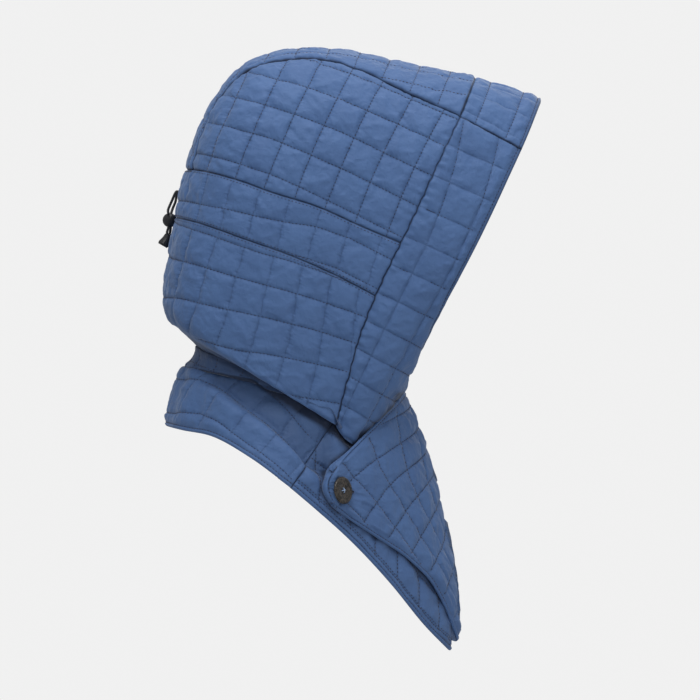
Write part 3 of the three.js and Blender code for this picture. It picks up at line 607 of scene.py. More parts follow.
# Distances from a panel's edge where its wall has a row of points.
EDGE_STEPS = (0.0, 0.25, 0.7, 1.3, 2.1, 3.1)


def sample_shares(length, step=MESH_STEP):
    """Shares of a length: closer together at both ends, where the cloth turns in."""
    edge = np.array(EDGE_STEPS)
    inside = length - 2 * (edge[-1] + step)
    count = max(2, int(round(inside / step)))
    middle = np.linspace(edge[-1] + step, length - edge[-1] - step, count + 1)
    return np.concatenate([edge, middle, length - edge[::-1]]) / length


def lengths(grid):
    """Length along the rows and down the columns at each point of a grid."""
    along = np.linalg.norm(np.diff(grid, axis=1), axis=-1)
    down = np.linalg.norm(np.diff(grid, axis=0), axis=-1)
    return running(along, 1), running(down, 0)


def level_lengths(grid):
    """Length round the form at each point, counted level, along every row."""
    return running(np.hypot(np.diff(grid[..., 0], axis=1), np.diff(grid[..., 1], axis=1)), 1)


# Seeded noise
def hashed(cells, seed):
    h = cells[..., 0] * 73856093 ^ cells[..., 1] * 19349663 ^ cells[..., 2] * 83492791
    h = (h ^ seed * 374761393) & 0xFFFFFFFF
    h = ((h ^ (h >> 13)) * 1274126177) & 0xFFFFFFFF
    h = ((h ^ (h >> 15)) * 2246822519) & 0xFFFFFFFF
    return ((h ^ (h >> 16)) & 0xFFFFFF) / 0xFFFFFF * 2 - 1


def noise(points, seed):
    """Smooth noise from -1 to 1 at points counted in cells."""
    base = np.floor(points).astype(np.int64)
    f = points - base
    f = f * f * f * (f * (f * 6 - 15) + 10)
    total = np.zeros(points.shape[:-1])
    for corner in itertools.product((0, 1), repeat=3):
        c = np.array(corner)
        weight = np.prod(np.where(c == 1, f, 1 - f), axis=-1)
        total += weight * hashed(base + c, seed)
    return total


def noise_2d(a, b, seed):
    return noise(xyz(a, b, 0.5), seed)


# Quilting: how high a cell stands, how deep its stitched lines lie and how much they pucker.
PUFF = 1.95
GROOVE = 0.6
PUCKER = 0.5
UNEVEN, LEAN = 0.3, 0.6


def puff_share(distance):
    arch = np.sin(np.pi * np.clip(distance / QUILT_PITCH, 0, 0.5))
    return 0.62 * (1 - np.exp(-distance / 2.2)) + 0.38 * arch


def quilt_relief(qa, qb, s, t, seed):
    """Height of the padded cells, from 0 at a stitched line, and its share of a full cell's."""
    cell = xyz(np.floor(qa), np.floor(qb), 0).astype(np.int64)
    full = 1 + UNEVEN * hashed(cell, seed)
    share, near, puckers = 1.0, np.inf, 0.0
    for k, (q, along, across, shift) in enumerate(((qa, t, s, 17.3), (qb, s, t, 11.9))):
        line = np.round(q)
        away = np.abs(q - line) * QUILT_PITCH
        full = full + LEAN * hashed(cell, seed + 1 + k) * (q - np.floor(q) - 0.5)
        share = share * puff_share(away)
        near = np.minimum(near, away)
        ripple = noise_2d(along / 3.1 + shift * line, line + 0.08 * across, seed + 3 + k)
        puckers = puckers + np.exp(-away / 3.2) * (1 - np.exp(-away / 0.9)) * ripple
    return PUFF * share * full + PUCKER * puckers - GROOVE * np.exp(-near / 0.8), share


def wrinkles(grid, s, t, seed):
    wide = noise(grid / 38.0, seed + 11)
    slant = noise_2d((s + t) / 30.0, (s - t) / 8.0, seed + 12)
    other = noise_2d((s - t) / 27.0, (s + t) / 7.0, seed + 13)
    where = smooth(0.5 + 1.2 * noise(grid / 24.0, seed + 14))
    ridges = 1 - 2 * np.abs(noise(grid / 11.0, seed + 15))
    small = noise(grid / 4.5, seed + 16)
    return 0.8 * wide + 0.65 * (slant * where + other * (1 - where)) + 0.6 * ridges + 0.3 * small


# Meshes
def link(name, data):
    thing = bpy.data.objects.new(name, data)
    bpy.context.scene.collection.objects.link(thing)
    return thing


def make_mesh(name, points, faces, maps=None, values=None):
    mesh = bpy.data.meshes.new(name)
    mesh.from_pydata((np.asarray(points) * MM).tolist(), [], faces)
    mesh.polygons.foreach_set("use_smooth", np.ones(len(mesh.polygons), bool))
    loops = np.zeros(len(mesh.loops), np.int32)
    mesh.loops.foreach_get("vertex_index", loops)
    for key, uv in (maps or {}).items():
        layer = mesh.uv_layers.new(name=key)
        layer.data.foreach_set("uv", np.asarray(uv, np.float32)[loops].ravel())
    for key, value in (values or {}).items():
        attribute = mesh.attributes.new(key, "FLOAT", "POINT")
        attribute.data.foreach_set("value", np.asarray(value, np.float32))
    mesh.update()
    return link(name, mesh)


def grid_faces(ids, flip):
    a, b, c, d = ids[:-1, :-1], ids[1:, :-1], ids[1:, 1:], ids[:-1, 1:]
    order = (a, d, c, b) if flip else (a, b, c, d)
    return np.stack(order, axis=-1).reshape(-1, 4).tolist()


def ring_ids(rings, sides):
    """Numbers of the points of closed rings, the first of each ring again at its end."""
    ids = np.arange(rings * sides).reshape(rings, sides)
    return np.hstack([ids, ids[:, :1]])


def ring_faces(rings, sides, flip=False):
    """Faces of a closed tube whose points are counted ring by ring."""
    ids = ring_ids(rings, sides)
    caps = [ids[0, :-1].tolist(), ids[-1, -2::-1].tolist()]
    return grid_faces(ids, flip) + [cap[::-1] if flip else cap for cap in caps]


def border_faces(fine, coarse, places, flip):
    """Triangles between a fine border and a coarse one that share the given places."""
    faces = []
    for k in range(len(coarse) - 1):
        for m in range(places[k], places[k + 1]):
            faces.append((fine[m], fine[m + 1], coarse[k]))
        faces.append((fine[places[k + 1]], coarse[k + 1], coarse[k]))
    return [face[::-1] for face in faces] if flip else faces


def every_other(count):
    return list(range(0, count - 1, 2)) + [count - 1]


def shell(name, outer, inner, turn, maps, values):
    """Closed wall: a fine outer grid and an inner grid with every other row and column."""
    rows, cols = outer.shape[:2]
    keep_i, keep_j = every_other(rows), every_other(cols)
    kept = np.ix_(keep_i, keep_j)
    ids = np.arange(rows * cols).reshape(rows, cols)
    inside = rows * cols + np.arange(len(keep_i) * len(keep_j)).reshape(len(keep_i), len(keep_j))
    flip = turn < 0
    faces = grid_faces(ids, flip) + grid_faces(inside, not flip)
    for fine, coarse, places, turned in (
        (ids[0], inside[0], keep_j, flip), (ids[-1], inside[-1], keep_j, not flip),
        (ids[:, 0], inside[:, 0], keep_i, not flip), (ids[:, -1], inside[:, -1], keep_i, flip),
    ):
        faces += border_faces(fine.tolist(), coarse.tolist(), places, turned)

    def both(grid):
        flat = (-1,) + grid.shape[2:]
        return np.concatenate([grid.reshape(flat), grid[kept].reshape(flat)])

    points = np.concatenate([outer.reshape(-1, 3), inner[kept].reshape(-1, 3)])
    maps = {key: both(np.stack(pair, axis=-1)) for key, pair in maps.items()}
    return make_mesh(name, points, faces, maps, {key: both(v) for key, v in values.items()})


def level_line(values, level, points, normals):
    """The lines on a grid where a value passes a level, as runs of points and normals."""
    above = values > level
    change = (above[1:] != above[:-1]) & np.isfinite(values[1:] + values[:-1])
    found = change.any(axis=0)
    row = change.argmax(axis=0)
    col = np.arange(values.shape[1])
    low, high = values[row, col], values[row + 1, col]
    share = np.where(found, (level - low) / np.where(high == low, 1, high - low), 0)[:, None]
    p = lerp(points[row, col], points[row + 1, col], share)
    n = lerp(normals[row, col], normals[row + 1, col], share)
    places = np.flatnonzero(found)
    runs = np.split(places, np.flatnonzero(np.diff(places) > 1) + 1)
    return [(p[run], n[run]) for run in runs if len(run) > 3]


THREAD_RADIUS = 0.34
STITCH_LENGTH = 1.75
STITCH_SIDES = 4
# Rings of one stitch: place along it, share of its radius, and height above the cloth.
STITCH_RINGS = ((-0.5, 0.35, -0.22), (-0.3, 1.0, 0.12), (0.3, 1.0, 0.12), (0.5, 0.35, -0.22))


def stitches(name, runs, pitch=STITCH_PITCH, length=STITCH_LENGTH, least=1.2):
    """Separate thread stitches along runs of points on the cloth."""
    size_of_one = STITCH_SIDES * len(STITCH_RINGS)
    one = np.array(ring_faces(len(STITCH_RINGS), STITCH_SIDES, True))
    turns = 2 * math.pi * (np.arange(STITCH_SIDES) + 0.5) / STITCH_SIDES
    points = []
    for line, normal in runs:
        far = distances(line)
        count = int((far[-1] - least) / pitch + 0.05)
        if count < 1:
            continue
        centres = (far[-1] - (count - 1) * pitch) / 2 + pitch * np.arange(count)
        rings = []
        for place, size, height in STITCH_RINGS:
            at = centres + place * length
            way = unit(sampled(line, far, at + 0.3) - sampled(line, far, at - 0.3))
            across = unit(np.cross(way, sampled(normal, far, at)))
            up = np.cross(across, way)
            middle = sampled(line, far, at) + up * height
            for turn in turns:
                out = math.cos(turn) * across + math.sin(turn) * up
                rings.append(middle + THREAD_RADIUS * size * out)
        points.append(np.stack(rings, axis=1).reshape(-1, 3))
    points = np.concatenate(points)
    firsts = np.arange(0, len(points), size_of_one)
    return make_mesh(name, points, (one + firsts[:, None, None]).reshape(-1, 4).tolist())


# Hems and seams
HEM_WIDTH = 3.2
SEAM_DEPTH = 1.3
SEAM_LAP = 0.35
HEM_LIP, HEM_GROOVE, HEM_DROP, HEM_RIPPLE = 0.35, 0.9, 0.5, 0.4
HEM_GROOVE_WIDTH = 0.75
# Painted shade along a hem's stitched groove: its strength and width.
HEM_PAINTED_SHADE, HEM_PAINTED_SHADE_WIDTH = 0.5, 0.5
EDGE_ROUND = 1.7
ROLL_HEIGHT = 1.5
# Width of the painted shade along a seam.
SEAM_PAINTED_SHADE_WIDTH = 0.6
# Height of each kind of seam's gathers, and how far they reach.
GATHERS = {"seam": (0.7, 6.0), "roll": (0.7, 6.0), "gathered": (1.8, 8.0)}
QUILT_WAVER = 0.02
OUTER_SETBACK = 0.4


def edge_distances(s, t):
    return {"left": s, "right": s[:, -1:] - s, "top": t, "bottom": t[-1:] - t}


def edge_relief(edges, s, t, seed):
    """What hems and seams do: the quilting's fullness, the height, the wall's share, the painted
    shade.
    """
    fullness, wall = np.ones_like(s), np.ones_like(s)
    height, dark = np.zeros_like(s), np.zeros_like(s)
    far = edge_distances(s, t)
    for k, (side, kind) in enumerate(edges.items()):
        e = far[side]
        run = t if side in ("left", "right") else s
        if kind == "hem":
            fullness *= smooth((e - HEM_WIDTH) / 6.0)
            lip = np.where(e < HEM_WIDTH, np.sin(np.pi * np.clip(e / HEM_WIDTH, 0, 1)), 0)
            height += HEM_LIP * lip - HEM_GROOVE * bell(e - HEM_WIDTH, HEM_GROOVE_WIDTH)
            height -= HEM_DROP * (1 - smooth(e / HEM_WIDTH))
            wall *= np.sqrt(1 - (1 - np.clip(e / EDGE_ROUND, 0, 1)) ** 2)
            # painted shade in the hem's groove
            dark = np.maximum(dark, HEM_PAINTED_SHADE * bell(e - HEM_WIDTH, HEM_PAINTED_SHADE_WIDTH))
            ripple = noise_2d(run / 4.0, e / 9.0, seed + 21 + k)
            height += HEM_RIPPLE * ripple * bell(e - HEM_WIDTH - 2, 3.5)
            continue
        ripple = noise_2d(run / 3.4, e / 16.0, seed + 21 + k)
        strength, depth = GATHERS[kind]
        height += strength * ripple * np.exp(-e / depth) * (1 - np.exp(-e / 1.0))
        # painted shade along the seam
        dark = np.maximum(dark, bell(e, SEAM_PAINTED_SHADE_WIDTH))
        if kind == "roll":
            fullness *= 1 - 0.6 * np.exp(-e / 3.0)
            height += ROLL_HEIGHT * np.exp(-e / 9.0)
            height -= (SEAM_DEPTH + ROLL_HEIGHT) * np.exp(-e / 1.2)
        else:
            fullness *= 1 - 0.85 * np.exp(-e / 3.0)
            height -= SEAM_DEPTH * np.exp(-e / 0.8)
    return fullness, height, wall, dark


def lap(grid, edges):
    """Seam edges reach a little past the seam, so that the two panels close it."""
    grid = grid.copy()
    views = {
        "left": (grid[:, 0], grid[:, 1]), "right": (grid[:, -1], grid[:, -2]),
        "top": (grid[0], grid[1]), "bottom": (grid[-1], grid[-2]),
    }
    for side, (last, before) in views.items():
        if edges.get(side, "hem") != "hem":
            last += SEAM_LAP * unit(last - before)
    return grid


def finish_piece(piece, material, slot, *nodes):
    piece.data.materials.append(material)
    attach(piece, "root")
    if nodes:
        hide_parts(*nodes)


def panel(
    node, surface, quilt, edges, extra=None, plain=None, shade=None, topstitch=(), seed=1,
    mirror=False, puff=1.0,
):
    """One quilted panel and its stitches; it replaces its solid. Gives its outer points back."""
    edges = dict(edge.split() for edge in edges.split(", "))
    s, t = lengths(surface(np.linspace(0, 1, 13), np.linspace(0, 1, 13)))
    u, v = sample_shares(np.median(s[:, -1])), sample_shares(np.median(t[-1]))
    grid = surface(u, v)
    if mirror:
        grid[..., 1] *= -1
    normals, turn = grid_normals(grid)
    s, t = lengths(grid)
    qa, qb = (
        q + QUILT_WAVER * noise_2d(s / 21.0, t / 21.0, seed + 31 + k)
        for k, q in enumerate(quilt(grid, s, t))
    )
    height, share = quilt_relief(qa, qb, s, t, seed)
    fullness, edge_height, wall, dark = edge_relief(edges, s, t, seed)
    if plain is not None:
        fullness = fullness * plain(grid, s, t, u, v)
    # A shade function paints shade into the panel's colour.
    if shade is not None:
        dark = np.maximum(dark, shade(grid, s, t, u, v))
    crumple = wrinkles(grid, s, t, seed) * (0.35 + 0.65 * fullness)
    outer_height = puff * height * fullness + edge_height + crumple - OUTER_SETBACK
    if extra is not None:
        outer_height = outer_height + extra(grid, s, t, u, v)
    base, middle = lap(grid, edges), -WALL / 2
    outer_height = lerp(middle, outer_height, wall)
    inner_height = lerp(middle, -WALL + 0.9 * (1 - share) * fullness, wall)
    outer = base + normals * outer_height[..., None]
    inner = base + normals * np.minimum(inner_height, outer_height - 0.4 * wall)[..., None]
    maps = {"cloth": (s, t), "quilt": (qa, qb)}
    # The fold attribute carries the painted shade of seams, hems, folds and edges.
    values = {"fold": dark, "full": puff * fullness}
    piece = shell(f"{node}_cloth", outer, inner, turn, maps, values)
    finish_piece(piece, cloth_material, "quilted_cloth", node)
    outer_normals = grid_normals(outer)[0]

    def runs_at(values, level, upright):
        if upright:
            turned = (outer.transpose(1, 0, 2), outer_normals.transpose(1, 0, 2))
            return level_line(values.T, level, *turned)
        return level_line(values, level, outer, outer_normals)

    runs = []
    for values, upright in ((qa, True), (qb, False)):
        values = np.where(fullness > 0.05, values, np.nan)
        for level in range(math.ceil(np.nanmin(values)), math.floor(np.nanmax(values)) + 1):
            runs += runs_at(values, level, upright)
    far = edge_distances(s, t)
    for side, distance in topstitch:
        runs += runs_at(far[side], distance, side in ("left", "right"))
    finish_piece(stitches(f"{node}_stitches", runs), thread_material, "thread")
    return outer, outer_normals


# Materials
def linear(r, g, b):
    def one(c):
        c /= 255.0
        return c / 12.92 if c <= 0.04045 else ((c + 0.055) / 1.055) ** 2.4

    return (one(r), one(g), one(b), 1.0)


CLOTH_LIGHT = linear(82, 116, 167)
CLOTH_DEEP = linear(71, 102, 152)
# Painted shade: the cloth's colour darkens toward this in seams, hems, folds, under edges and along
# stitched lines.
CLOTH_PAINTED_SHADE = linear(10, 15, 33)
WEAVE_PITCH = 0.42
# Strength of what the cloth's bumps are made of.
PUCKER_BUMP, CRINKLE_BUMP, RIDGE_BUMP, CREASE_BUMP = 2.3, 0.5, 2.8, 0.6


class Tree:
    """The nodes of a material or a world. An input is a value, or a socket to link."""

    def __init__(self, owner):
        owner.use_nodes = True
        self.owner, self.nodes, self.links = owner, owner.node_tree.nodes, owner.node_tree.links

    def fill(self, node, inputs):
        for key, value in inputs.items():
            if isinstance(value, bpy.types.NodeSocket):
                self.links.new(value, node.inputs[key])
            else:
                node.inputs[key].default_value = value
        return node

    def surface(self, inputs):
        self.fill(self.nodes["Principled BSDF"], inputs)
        return self.owner

    def add(self, kind, inputs=None, **properties):
        node = self.nodes.new("ShaderNode" + kind)
        for key, value in properties.items():
            setattr(node, key, value)
        return self.fill(node, inputs or {})

    def place(self):
        return self.add("TexCoord").outputs["Object"]

    def math(self, operation, *sources):
        return self.add("Math", dict(enumerate(sources)), operation=operation).outputs[0]

    def noise(self, source, scale, detail=2.0, distortion=0.0):
        """Noise over a source's coordinates, at one scale or at one for each axis."""
        if isinstance(scale, tuple):
            stretched = self.add("VectorMath", {0: source, 1: scale}, operation="MULTIPLY")
            source, scale = stretched.outputs["Vector"], 1.0
        inputs = {"Vector": source, "Scale": scale, "Detail": detail, "Distortion": distortion}
        return self.add("TexNoise", inputs).outputs["Fac"]

    def mix(self, share, first, second):
        inputs = {"Factor": share, "A": first, "B": second}
        return self.add("Mix", inputs, data_type="RGBA").outputs["Result"]

    def spread(self, source, low, high, start=0.0):
        inputs = {"Value": source, "From Min": start, "To Min": low, "To Max": high}
        return self.add("MapRange", inputs).outputs["Result"]

    def bump(self, height, strength, distance, **under):
        inputs = {"Height": height, "Strength": strength, "Distance": distance, **under}
        return self.add("Bump", inputs).outputs["Normal"]


def new_material(name):
    return Tree(bpy.data.materials.new(name))


def make_cloth():
    tree = new_material("quilted_nylon")
    m, place = tree.math, tree.place()
    cloth = tree.add("UVMap", uv_map="cloth").outputs["UV"]
    quilt = tree.add("UVMap", uv_map="quilt").outputs["UV"]
    split = tree.add("SeparateXYZ", {"Vector": quilt})
    full = tree.add("Attribute", attribute_name="full").outputs["Fac"]
    # fold: the painted shade that each panel gives, from 0 to 1.
    fold = tree.add("Attribute", attribute_name="fold").outputs["Fac"]
    creases, puckers = [], []
    for axis, scale in (("X", (0.1, 0.42, 1.0)), ("Y", (0.42, 0.1, 1.0))):
        away = m("PINGPONG", split.outputs[axis], 0.5)
        creases.append(m("EXPONENT", m("MULTIPLY", away, -QUILT_PITCH / 0.5)))
        near = m("EXPONENT", m("MULTIPLY", away, -QUILT_PITCH / 2.8))
        puckers.append(m("MULTIPLY", near, m("SUBTRACT", tree.noise(cloth, scale), 0.5)))
    crease = m("MULTIPLY", m("MAXIMUM", *creases), full)
    pucker = m("MULTIPLY", m("ADD", *puckers), full)
    crinkle = tree.noise(place, 330.0, 3.0)
    ridge = m("ABSOLUTE", m("SUBTRACT", tree.noise(place, 105.0), 0.5))
    relief = m("ADD", m("MULTIPLY", pucker, PUCKER_BUMP), m("MULTIPLY", crinkle, CRINKLE_BUMP))
    relief = m("SUBTRACT", relief, m("MULTIPLY", ridge, RIDGE_BUMP))
    relief = m("SUBTRACT", relief, m("MULTIPLY", crease, CREASE_BUMP))
    wave = {"Vector": cloth, "Scale": 2 * math.pi / (20 * WEAVE_PITCH), "Distortion": 0.6}
    threads = [tree.add("TexWave", wave, bands_direction=way).outputs["Fac"] for way in "XY"]
    coarse = tree.bump(relief, 1.0, 0.0006)
    weave = tree.bump(m("ADD", *threads), 0.25, 0.00004, Normal=coarse)
    tone = tree.mix(tree.noise(place, 34.0, 5.0), CLOTH_DEEP, CLOTH_LIGHT)
    # Painted shade: the base colour darkens toward the painted shade colour by the fold attribute
    # and along the stitched lines.
    shade = m("MAXIMUM", m("MULTIPLY", fold, 0.85), m("MULTIPLY", crease, 0.18))
    return tree.surface({
        "Base Color": tree.mix(shade, tone, CLOTH_PAINTED_SHADE), "Normal": weave, "Roughness": 0.66,
        "Specular IOR Level": 0.4, "Sheen Weight": 0.2, "Sheen Roughness": 0.45,
        "Sheen Tint": (0.8, 0.88, 1.0, 1.0),
    })


def make_thread(name, color, pitch):
    tree = new_material(name)
    grain = tree.noise(tree.place(), 1.0 / pitch)
    dull, bright = (tuple(min(1.0, k * c) for c in color[:3]) + (1.0,) for k in (0.75, 1.25))
    return tree.surface({
        "Base Color": tree.mix(grain, dull, bright), "Normal": tree.bump(grain, 0.3, 0.0001),
        "Roughness": 0.55, "Sheen Weight": 0.3,
    })


def make_plastic(name, color, roughness):
    tree = new_material(name)
    grain = tree.noise(tree.place(), 900.0)
    return tree.surface({
        "Base Color": color, "Normal": tree.bump(grain, 0.2, 0.0001),
        "Roughness": tree.spread(grain, roughness - 0.08, roughness + 0.12),
    })


def make_horn(dark, light):
    tree = new_material("button_horn")
    marble = tree.noise(tree.place(), 420.0, 5.0, 1.6)
    ramp = tree.add("ValToRGB", {"Fac": marble})
    for element, position, color in zip(ramp.color_ramp.elements, (0.42, 0.64), (dark, light)):
        element.position, element.color = position, color
    return tree.surface({
        "Base Color": ramp.outputs["Color"], "Normal": tree.bump(marble, 0.35, 0.0003),
        "Roughness": 0.34,
    })


cloth_material = make_cloth()
# The quilting thread is darker than the cloth: partly its own colour and partly painted shade of
# the needle holes it lies in.
thread_material = make_thread("quilting_thread", linear(22, 31, 66), 0.0006)
eyelet_material = make_thread("eyelet_thread", linear(66, 88, 138), 0.0006)
button_thread_material = make_thread("button_thread", linear(150, 176, 214), 0.0005)
cord_material = make_thread("braided_elastic", linear(26, 27, 31), 0.0005)
lock_material = make_plastic("lock_plastic", linear(34, 35, 39), 0.42)
horn_material = make_horn(linear(15, 14, 15), linear(80, 73, 66))


# Stitched lines of each panel. A line is where its count passes a whole number, and each count is a
# polynomial: rows are powers of the first coordinate, columns of the second, both in 100 mm.
def lines(*rows):
    width = max(len(row) for row in rows)
    return np.array([tuple(row) + (0,) * (width - len(row)) for row in rows], float)


SIDE_LINES = (
    lines((2.507, 1.952, -0.263), (3.561, 0.097), (-0.2,)),
    lines((4.362, -4.74, 1.027, -0.218), (1.414, 0.099, -0.011), (0.416, -0.19), (-0.109,)),
)
BRIM_LINES = (
    lines((-3.524, -0.234, 0.415, -0.022), (2.693, -0.051, 0.251), (0.064, -0.087), (0.089,)),
    lines((-0.768, 2.91, 0.395, -0.041), (-1.385, -0.19, -0.082), (0.096, 0.121), (-0.084,)),
)
BAND_LINES = lines((7.608, -0.693, 0.278), (-3.675, -0.172), (-0.14,))
LOWER_LINES = (
    lines((7.646, -1.403, 0.699), (-4.21, 0.776), (0.048,)),
    lines((0.086, 4.954, -0.765), (-0.558, -0.551), (0.215,)),
)
FLAP_LINES = (
    lines((4.732, 1.442, -2.053), (-3.87, -1.433), (0.686,)),
    lines((1.103, 5.691, -0.955), (-1.265, -1.28), (-0.246,)),
)
CAPE_LINES = lines((3.949, 0.445), (-3.157,))
CAPE_ROW_PITCH = 21.5
BACK_PITCH = 0.26


# The row stitched along the drawcord band: its distance t from the band's top in millimetres, at
# a distance a from the band's front end in 100 mm.
BAND_ROW = table(
    "a t", (0, 15), (0.37, 12.5), (0.66, 15.7), (0.85, 19.5), (1.14, 22.5), (1.5, 26.4),
)
BAND_ROW_PITCH = 26.0
UNDER_COLUMNS = table(
    "x count", (-16, -2), (8, -1), (32, 0), (52, 1), (69.6, 2), (87.2, 3), (118, 5),
)


def line_count(coefficients, a, b):
    return np.polynomial.polynomial.polyval2d(a, b, coefficients)


def from_front(s):
    """Distance from the nearer front end of a row, in 100 mm, and the row's half length."""
    total = s[:, -1:]
    return np.minimum(s, total - s) / 100, total / 200


def seen_from_side(line_pair):
    """A quilt whose lines are counted over x and depth, as the side view shows them."""
    def quilt(grid, s, t):
        return [line_count(rows, grid[..., 0] / 100, -grid[..., 2] / 100) for rows in line_pair]

    return quilt


def towards_back(fitted, a, half):
    """Lines as seen from the side, turning into upright ones at the middle of the back."""
    upright = (half - a) / BACK_PITCH
    gap = np.median((fitted - upright)[np.abs(a - 1.5) < 0.05])
    upright += round(2 * float(gap)) / 2
    return lerp(fitted, upright, rise(a, 1.5, half))


def band_quilt(grid, s, t):
    a, half = from_front(s)
    row = (t - np.interp(a, BAND_ROW["a"], BAND_ROW["t"])) / BAND_ROW_PITCH
    return towards_back(line_count(BAND_LINES, a, t / 100), a, half), row


def lower_quilt(grid, s, t):
    a, half = from_front(s)
    columns, rows = (line_count(lines, a, t / 100) for lines in LOWER_LINES)
    return towards_back(columns, a, half), rows


def strip_quilt(grid, s, t):
    from_brim = t[-1:] - t
    return (s - s[:, -1:] / 2 - 17) / 24.8, (from_brim - 20.0) / 24.6


def neck_quilt(grid, s, t):
    return (s - s[:, -1:] / 2) / 25.0 + 0.5, (t - 13.0) / 25.0


def brim_top_quilt(grid, s, t):
    away = np.abs(s - s[:, -1:] / 2)
    share = t / t[-1:]
    qa = (s[:, -1:] / 2 - away - lerp(8.0, 6.0, share)) / lerp(21.0, 24.0, share)
    return qa, np.interp(share, (0, 0.24, 0.72, 1.0), (-0.6, 0, 1, 1.7))


def cape_quilt(grid, s, t):
    a, half = from_front(s)
    columns = line_count(CAPE_LINES, a, (t - 10.0) / 100)
    return towards_back(columns, a, half), crease_away(grid) / CAPE_ROW_PITCH


def under_quilt(grid, s, t):
    columns = np.interp(grid[..., 0], UNDER_COLUMNS["x"], UNDER_COLUMNS["count"])
    return columns, (t[-1:] - t - 34.0) / 27.0


def over_quilt(grid, s, t):
    """The flap's lines, which run straight on over the wearer's left half."""
    level = level_lengths(grid)
    a = (level - level[:, level.shape[1] // 2][:, None]) / 100
    b = (-grid[..., 2] - 300) / 100
    right = (a + np.sqrt(a * a + 0.04)) / 2
    counts = []
    for rows in FLAP_LINES:
        bent = rows.copy()
        bent[1, 0] = 0
        counts.append(rows[1, 0] * a + line_count(bent, right, b))
    return counts


# Folds, tucks and painted shades of each panel: heights in millimetres, and painted shades from 0
# to 1
FOLD_TUCK = 5.0
COVER_TUCK = 7.0
COVER_BLEND = 4.0
NECK_BACK_PUSH = 2.5
CREASE_SLOPE = 0.8
CREASE_PROFILE = {
    "depth": 2.0, "width": 2.6, "recess": 7.5, "ridge": 2.0, "away": 8.0, "spread": 6.0,
}
CAPE_FOLDS = table(
    "turn width depth", (176, 7, 1.8), (163, 5, -2), (150, 7, 1.8), (136, 6, -1.6), (122, 9, 1.2),
)
FLAP_CURL = 3.5
FLAP_CURL_REACH = 24.0
# Painted shade along the brim's front edge, which faces away from the light.
BRIM_EDGE_PAINTED_SHADE = 0.4
BRIM_TUCK = 6.0
BRIM_TOP_LIFT = 1.6


def strip_rise(grid, s, t, u, v):
    """Gathers and slanting wrinkles that run back from the brim."""
    from_brim = t[-1:] - t
    edge = np.minimum(s, s[:, -1:] - s)
    gather = noise_2d(from_brim / 4.5, s / 16.0, 77) * np.exp(-from_brim / 24.0)
    slant = (from_brim + 0.8 * edge) / 5.4
    chevron = (1 - 2 * np.abs(noise_2d(slant, s / 15.0, 78))) * np.exp(-from_brim / 52.0)
    return (0.9 * gather + 1.3 * chevron) * smooth(edge / 8) + 0.8


def at_sides(u):
    return rise(np.abs(2 * u - 1), 0.2, 0.55)[None, :]


def lower_tuck(grid, s, t, u, v):
    """Under the fold the cloth turns in, so that the fold is a clean edge."""
    return -FOLD_TUCK * smooth((v - LOWER_MAIN_SHARE) / 0.1)[:, None] * at_sides(u)


def lower_plain(grid, s, t, u, v):
    return np.broadcast_to(1 - smooth((v - LOWER_MAIN_SHARE + 0.03) / 0.03)[:, None], s.shape)


# Painted shade on the lower panel where it turns in under the fold.
def lower_shade(grid, s, t, u, v):
    return np.broadcast_to(0.6 * smooth((v - LOWER_MAIN_SHARE) / 0.06)[:, None], s.shape)


def below_cover(grid):
    """How far a point is below the edge of the cloth that hangs over it."""
    x, z = grid[..., 0], grid[..., 2]
    return np.where(x < HINGE_X, ray_z(FOLD_ANGLE)(x), neckline_z(x)) - z


def cover_tuck(grid):
    return -COVER_TUCK * smooth(0.5 - below_cover(grid) / (2 * COVER_BLEND))


def crease_away(grid):
    """Distance below the crease along the side of the cape, measured across it."""
    return CREASE_SLOPE * (crease_z(grid[..., 0]) - grid[..., 2])


def crease_reach(grid):
    x = grid[..., 0]
    return rise(x, -96, -70) * (1 - rise(x, 14, 30))


def cover_shade(grid, s, t, u, v):
    """Painted shade on the cloth close under the crown's edge and above the crease."""
    close = np.exp(-np.maximum(below_cover(grid) - 4.0, 0) / 4.0)
    away, reach = crease_away(grid), crease_reach(grid)
    above = 0.36 * smooth(0.5 - away / 7.0) * reach
    line = 0.7 * bell(away + 0.5, 1.5) * reach * rise(grid[..., 0], -60, -10)
    return np.maximum(np.maximum(close, above), line)


def neck_tuck(grid, s, t, u, v):
    top = -FOLD_TUCK * (1 - smooth(v / 0.3))[:, None] * at_sides(u)
    push = NECK_BACK_PUSH * (1 - at_sides(u)) * (1 - smooth(v / 0.6))[:, None]
    return top + push + cover_tuck(grid) * rise(v, 0.5, 1)[:, None]


# Painted shade over the neck band, darkest at its top under the crown's fold.
def neck_shade(grid, s, t, u, v):
    return 0.3 + 0.6 * np.exp(-t / 7.0)


def under_folds(grid, s, t, u, v):
    """The crease along the side, the cloth set back above it, and the tuck under the crown."""
    away, form = crease_away(grid), CREASE_PROFILE
    height = -form["depth"] * bell(away, form["width"])
    height -= form["recess"] * smooth(0.5 - away / 6.0) * rise(below_cover(grid), -4, 4)
    height += form["ridge"] * bell(away - form["away"], form["spread"])
    return height * crease_reach(grid) * smooth((t[-1:] - t) / 8) + cover_tuck(grid)


def cape_folds(grid, s, t, u, v):
    """Soft folds down the back, and the crease along the sides under the crown's edge."""
    turn = lerp(180, 70, np.abs(2 * u - 1))[None, :]
    part = (t / t[-1:]).clip(0, 1)
    folds = sum(d * bell(turn - centre, w) for centre, w, d in zip(*CAPE_FOLDS.values()))
    return folds * np.sin(np.pi * part) ** 0.5 + under_folds(grid, s, t, u, v)


def over_left(u):
    """The share of the over panel that lies like its mirror on the right: 1 near the left seam."""
    return 1 - rise(2 * u - 1, -0.85, -0.6)[None, :]


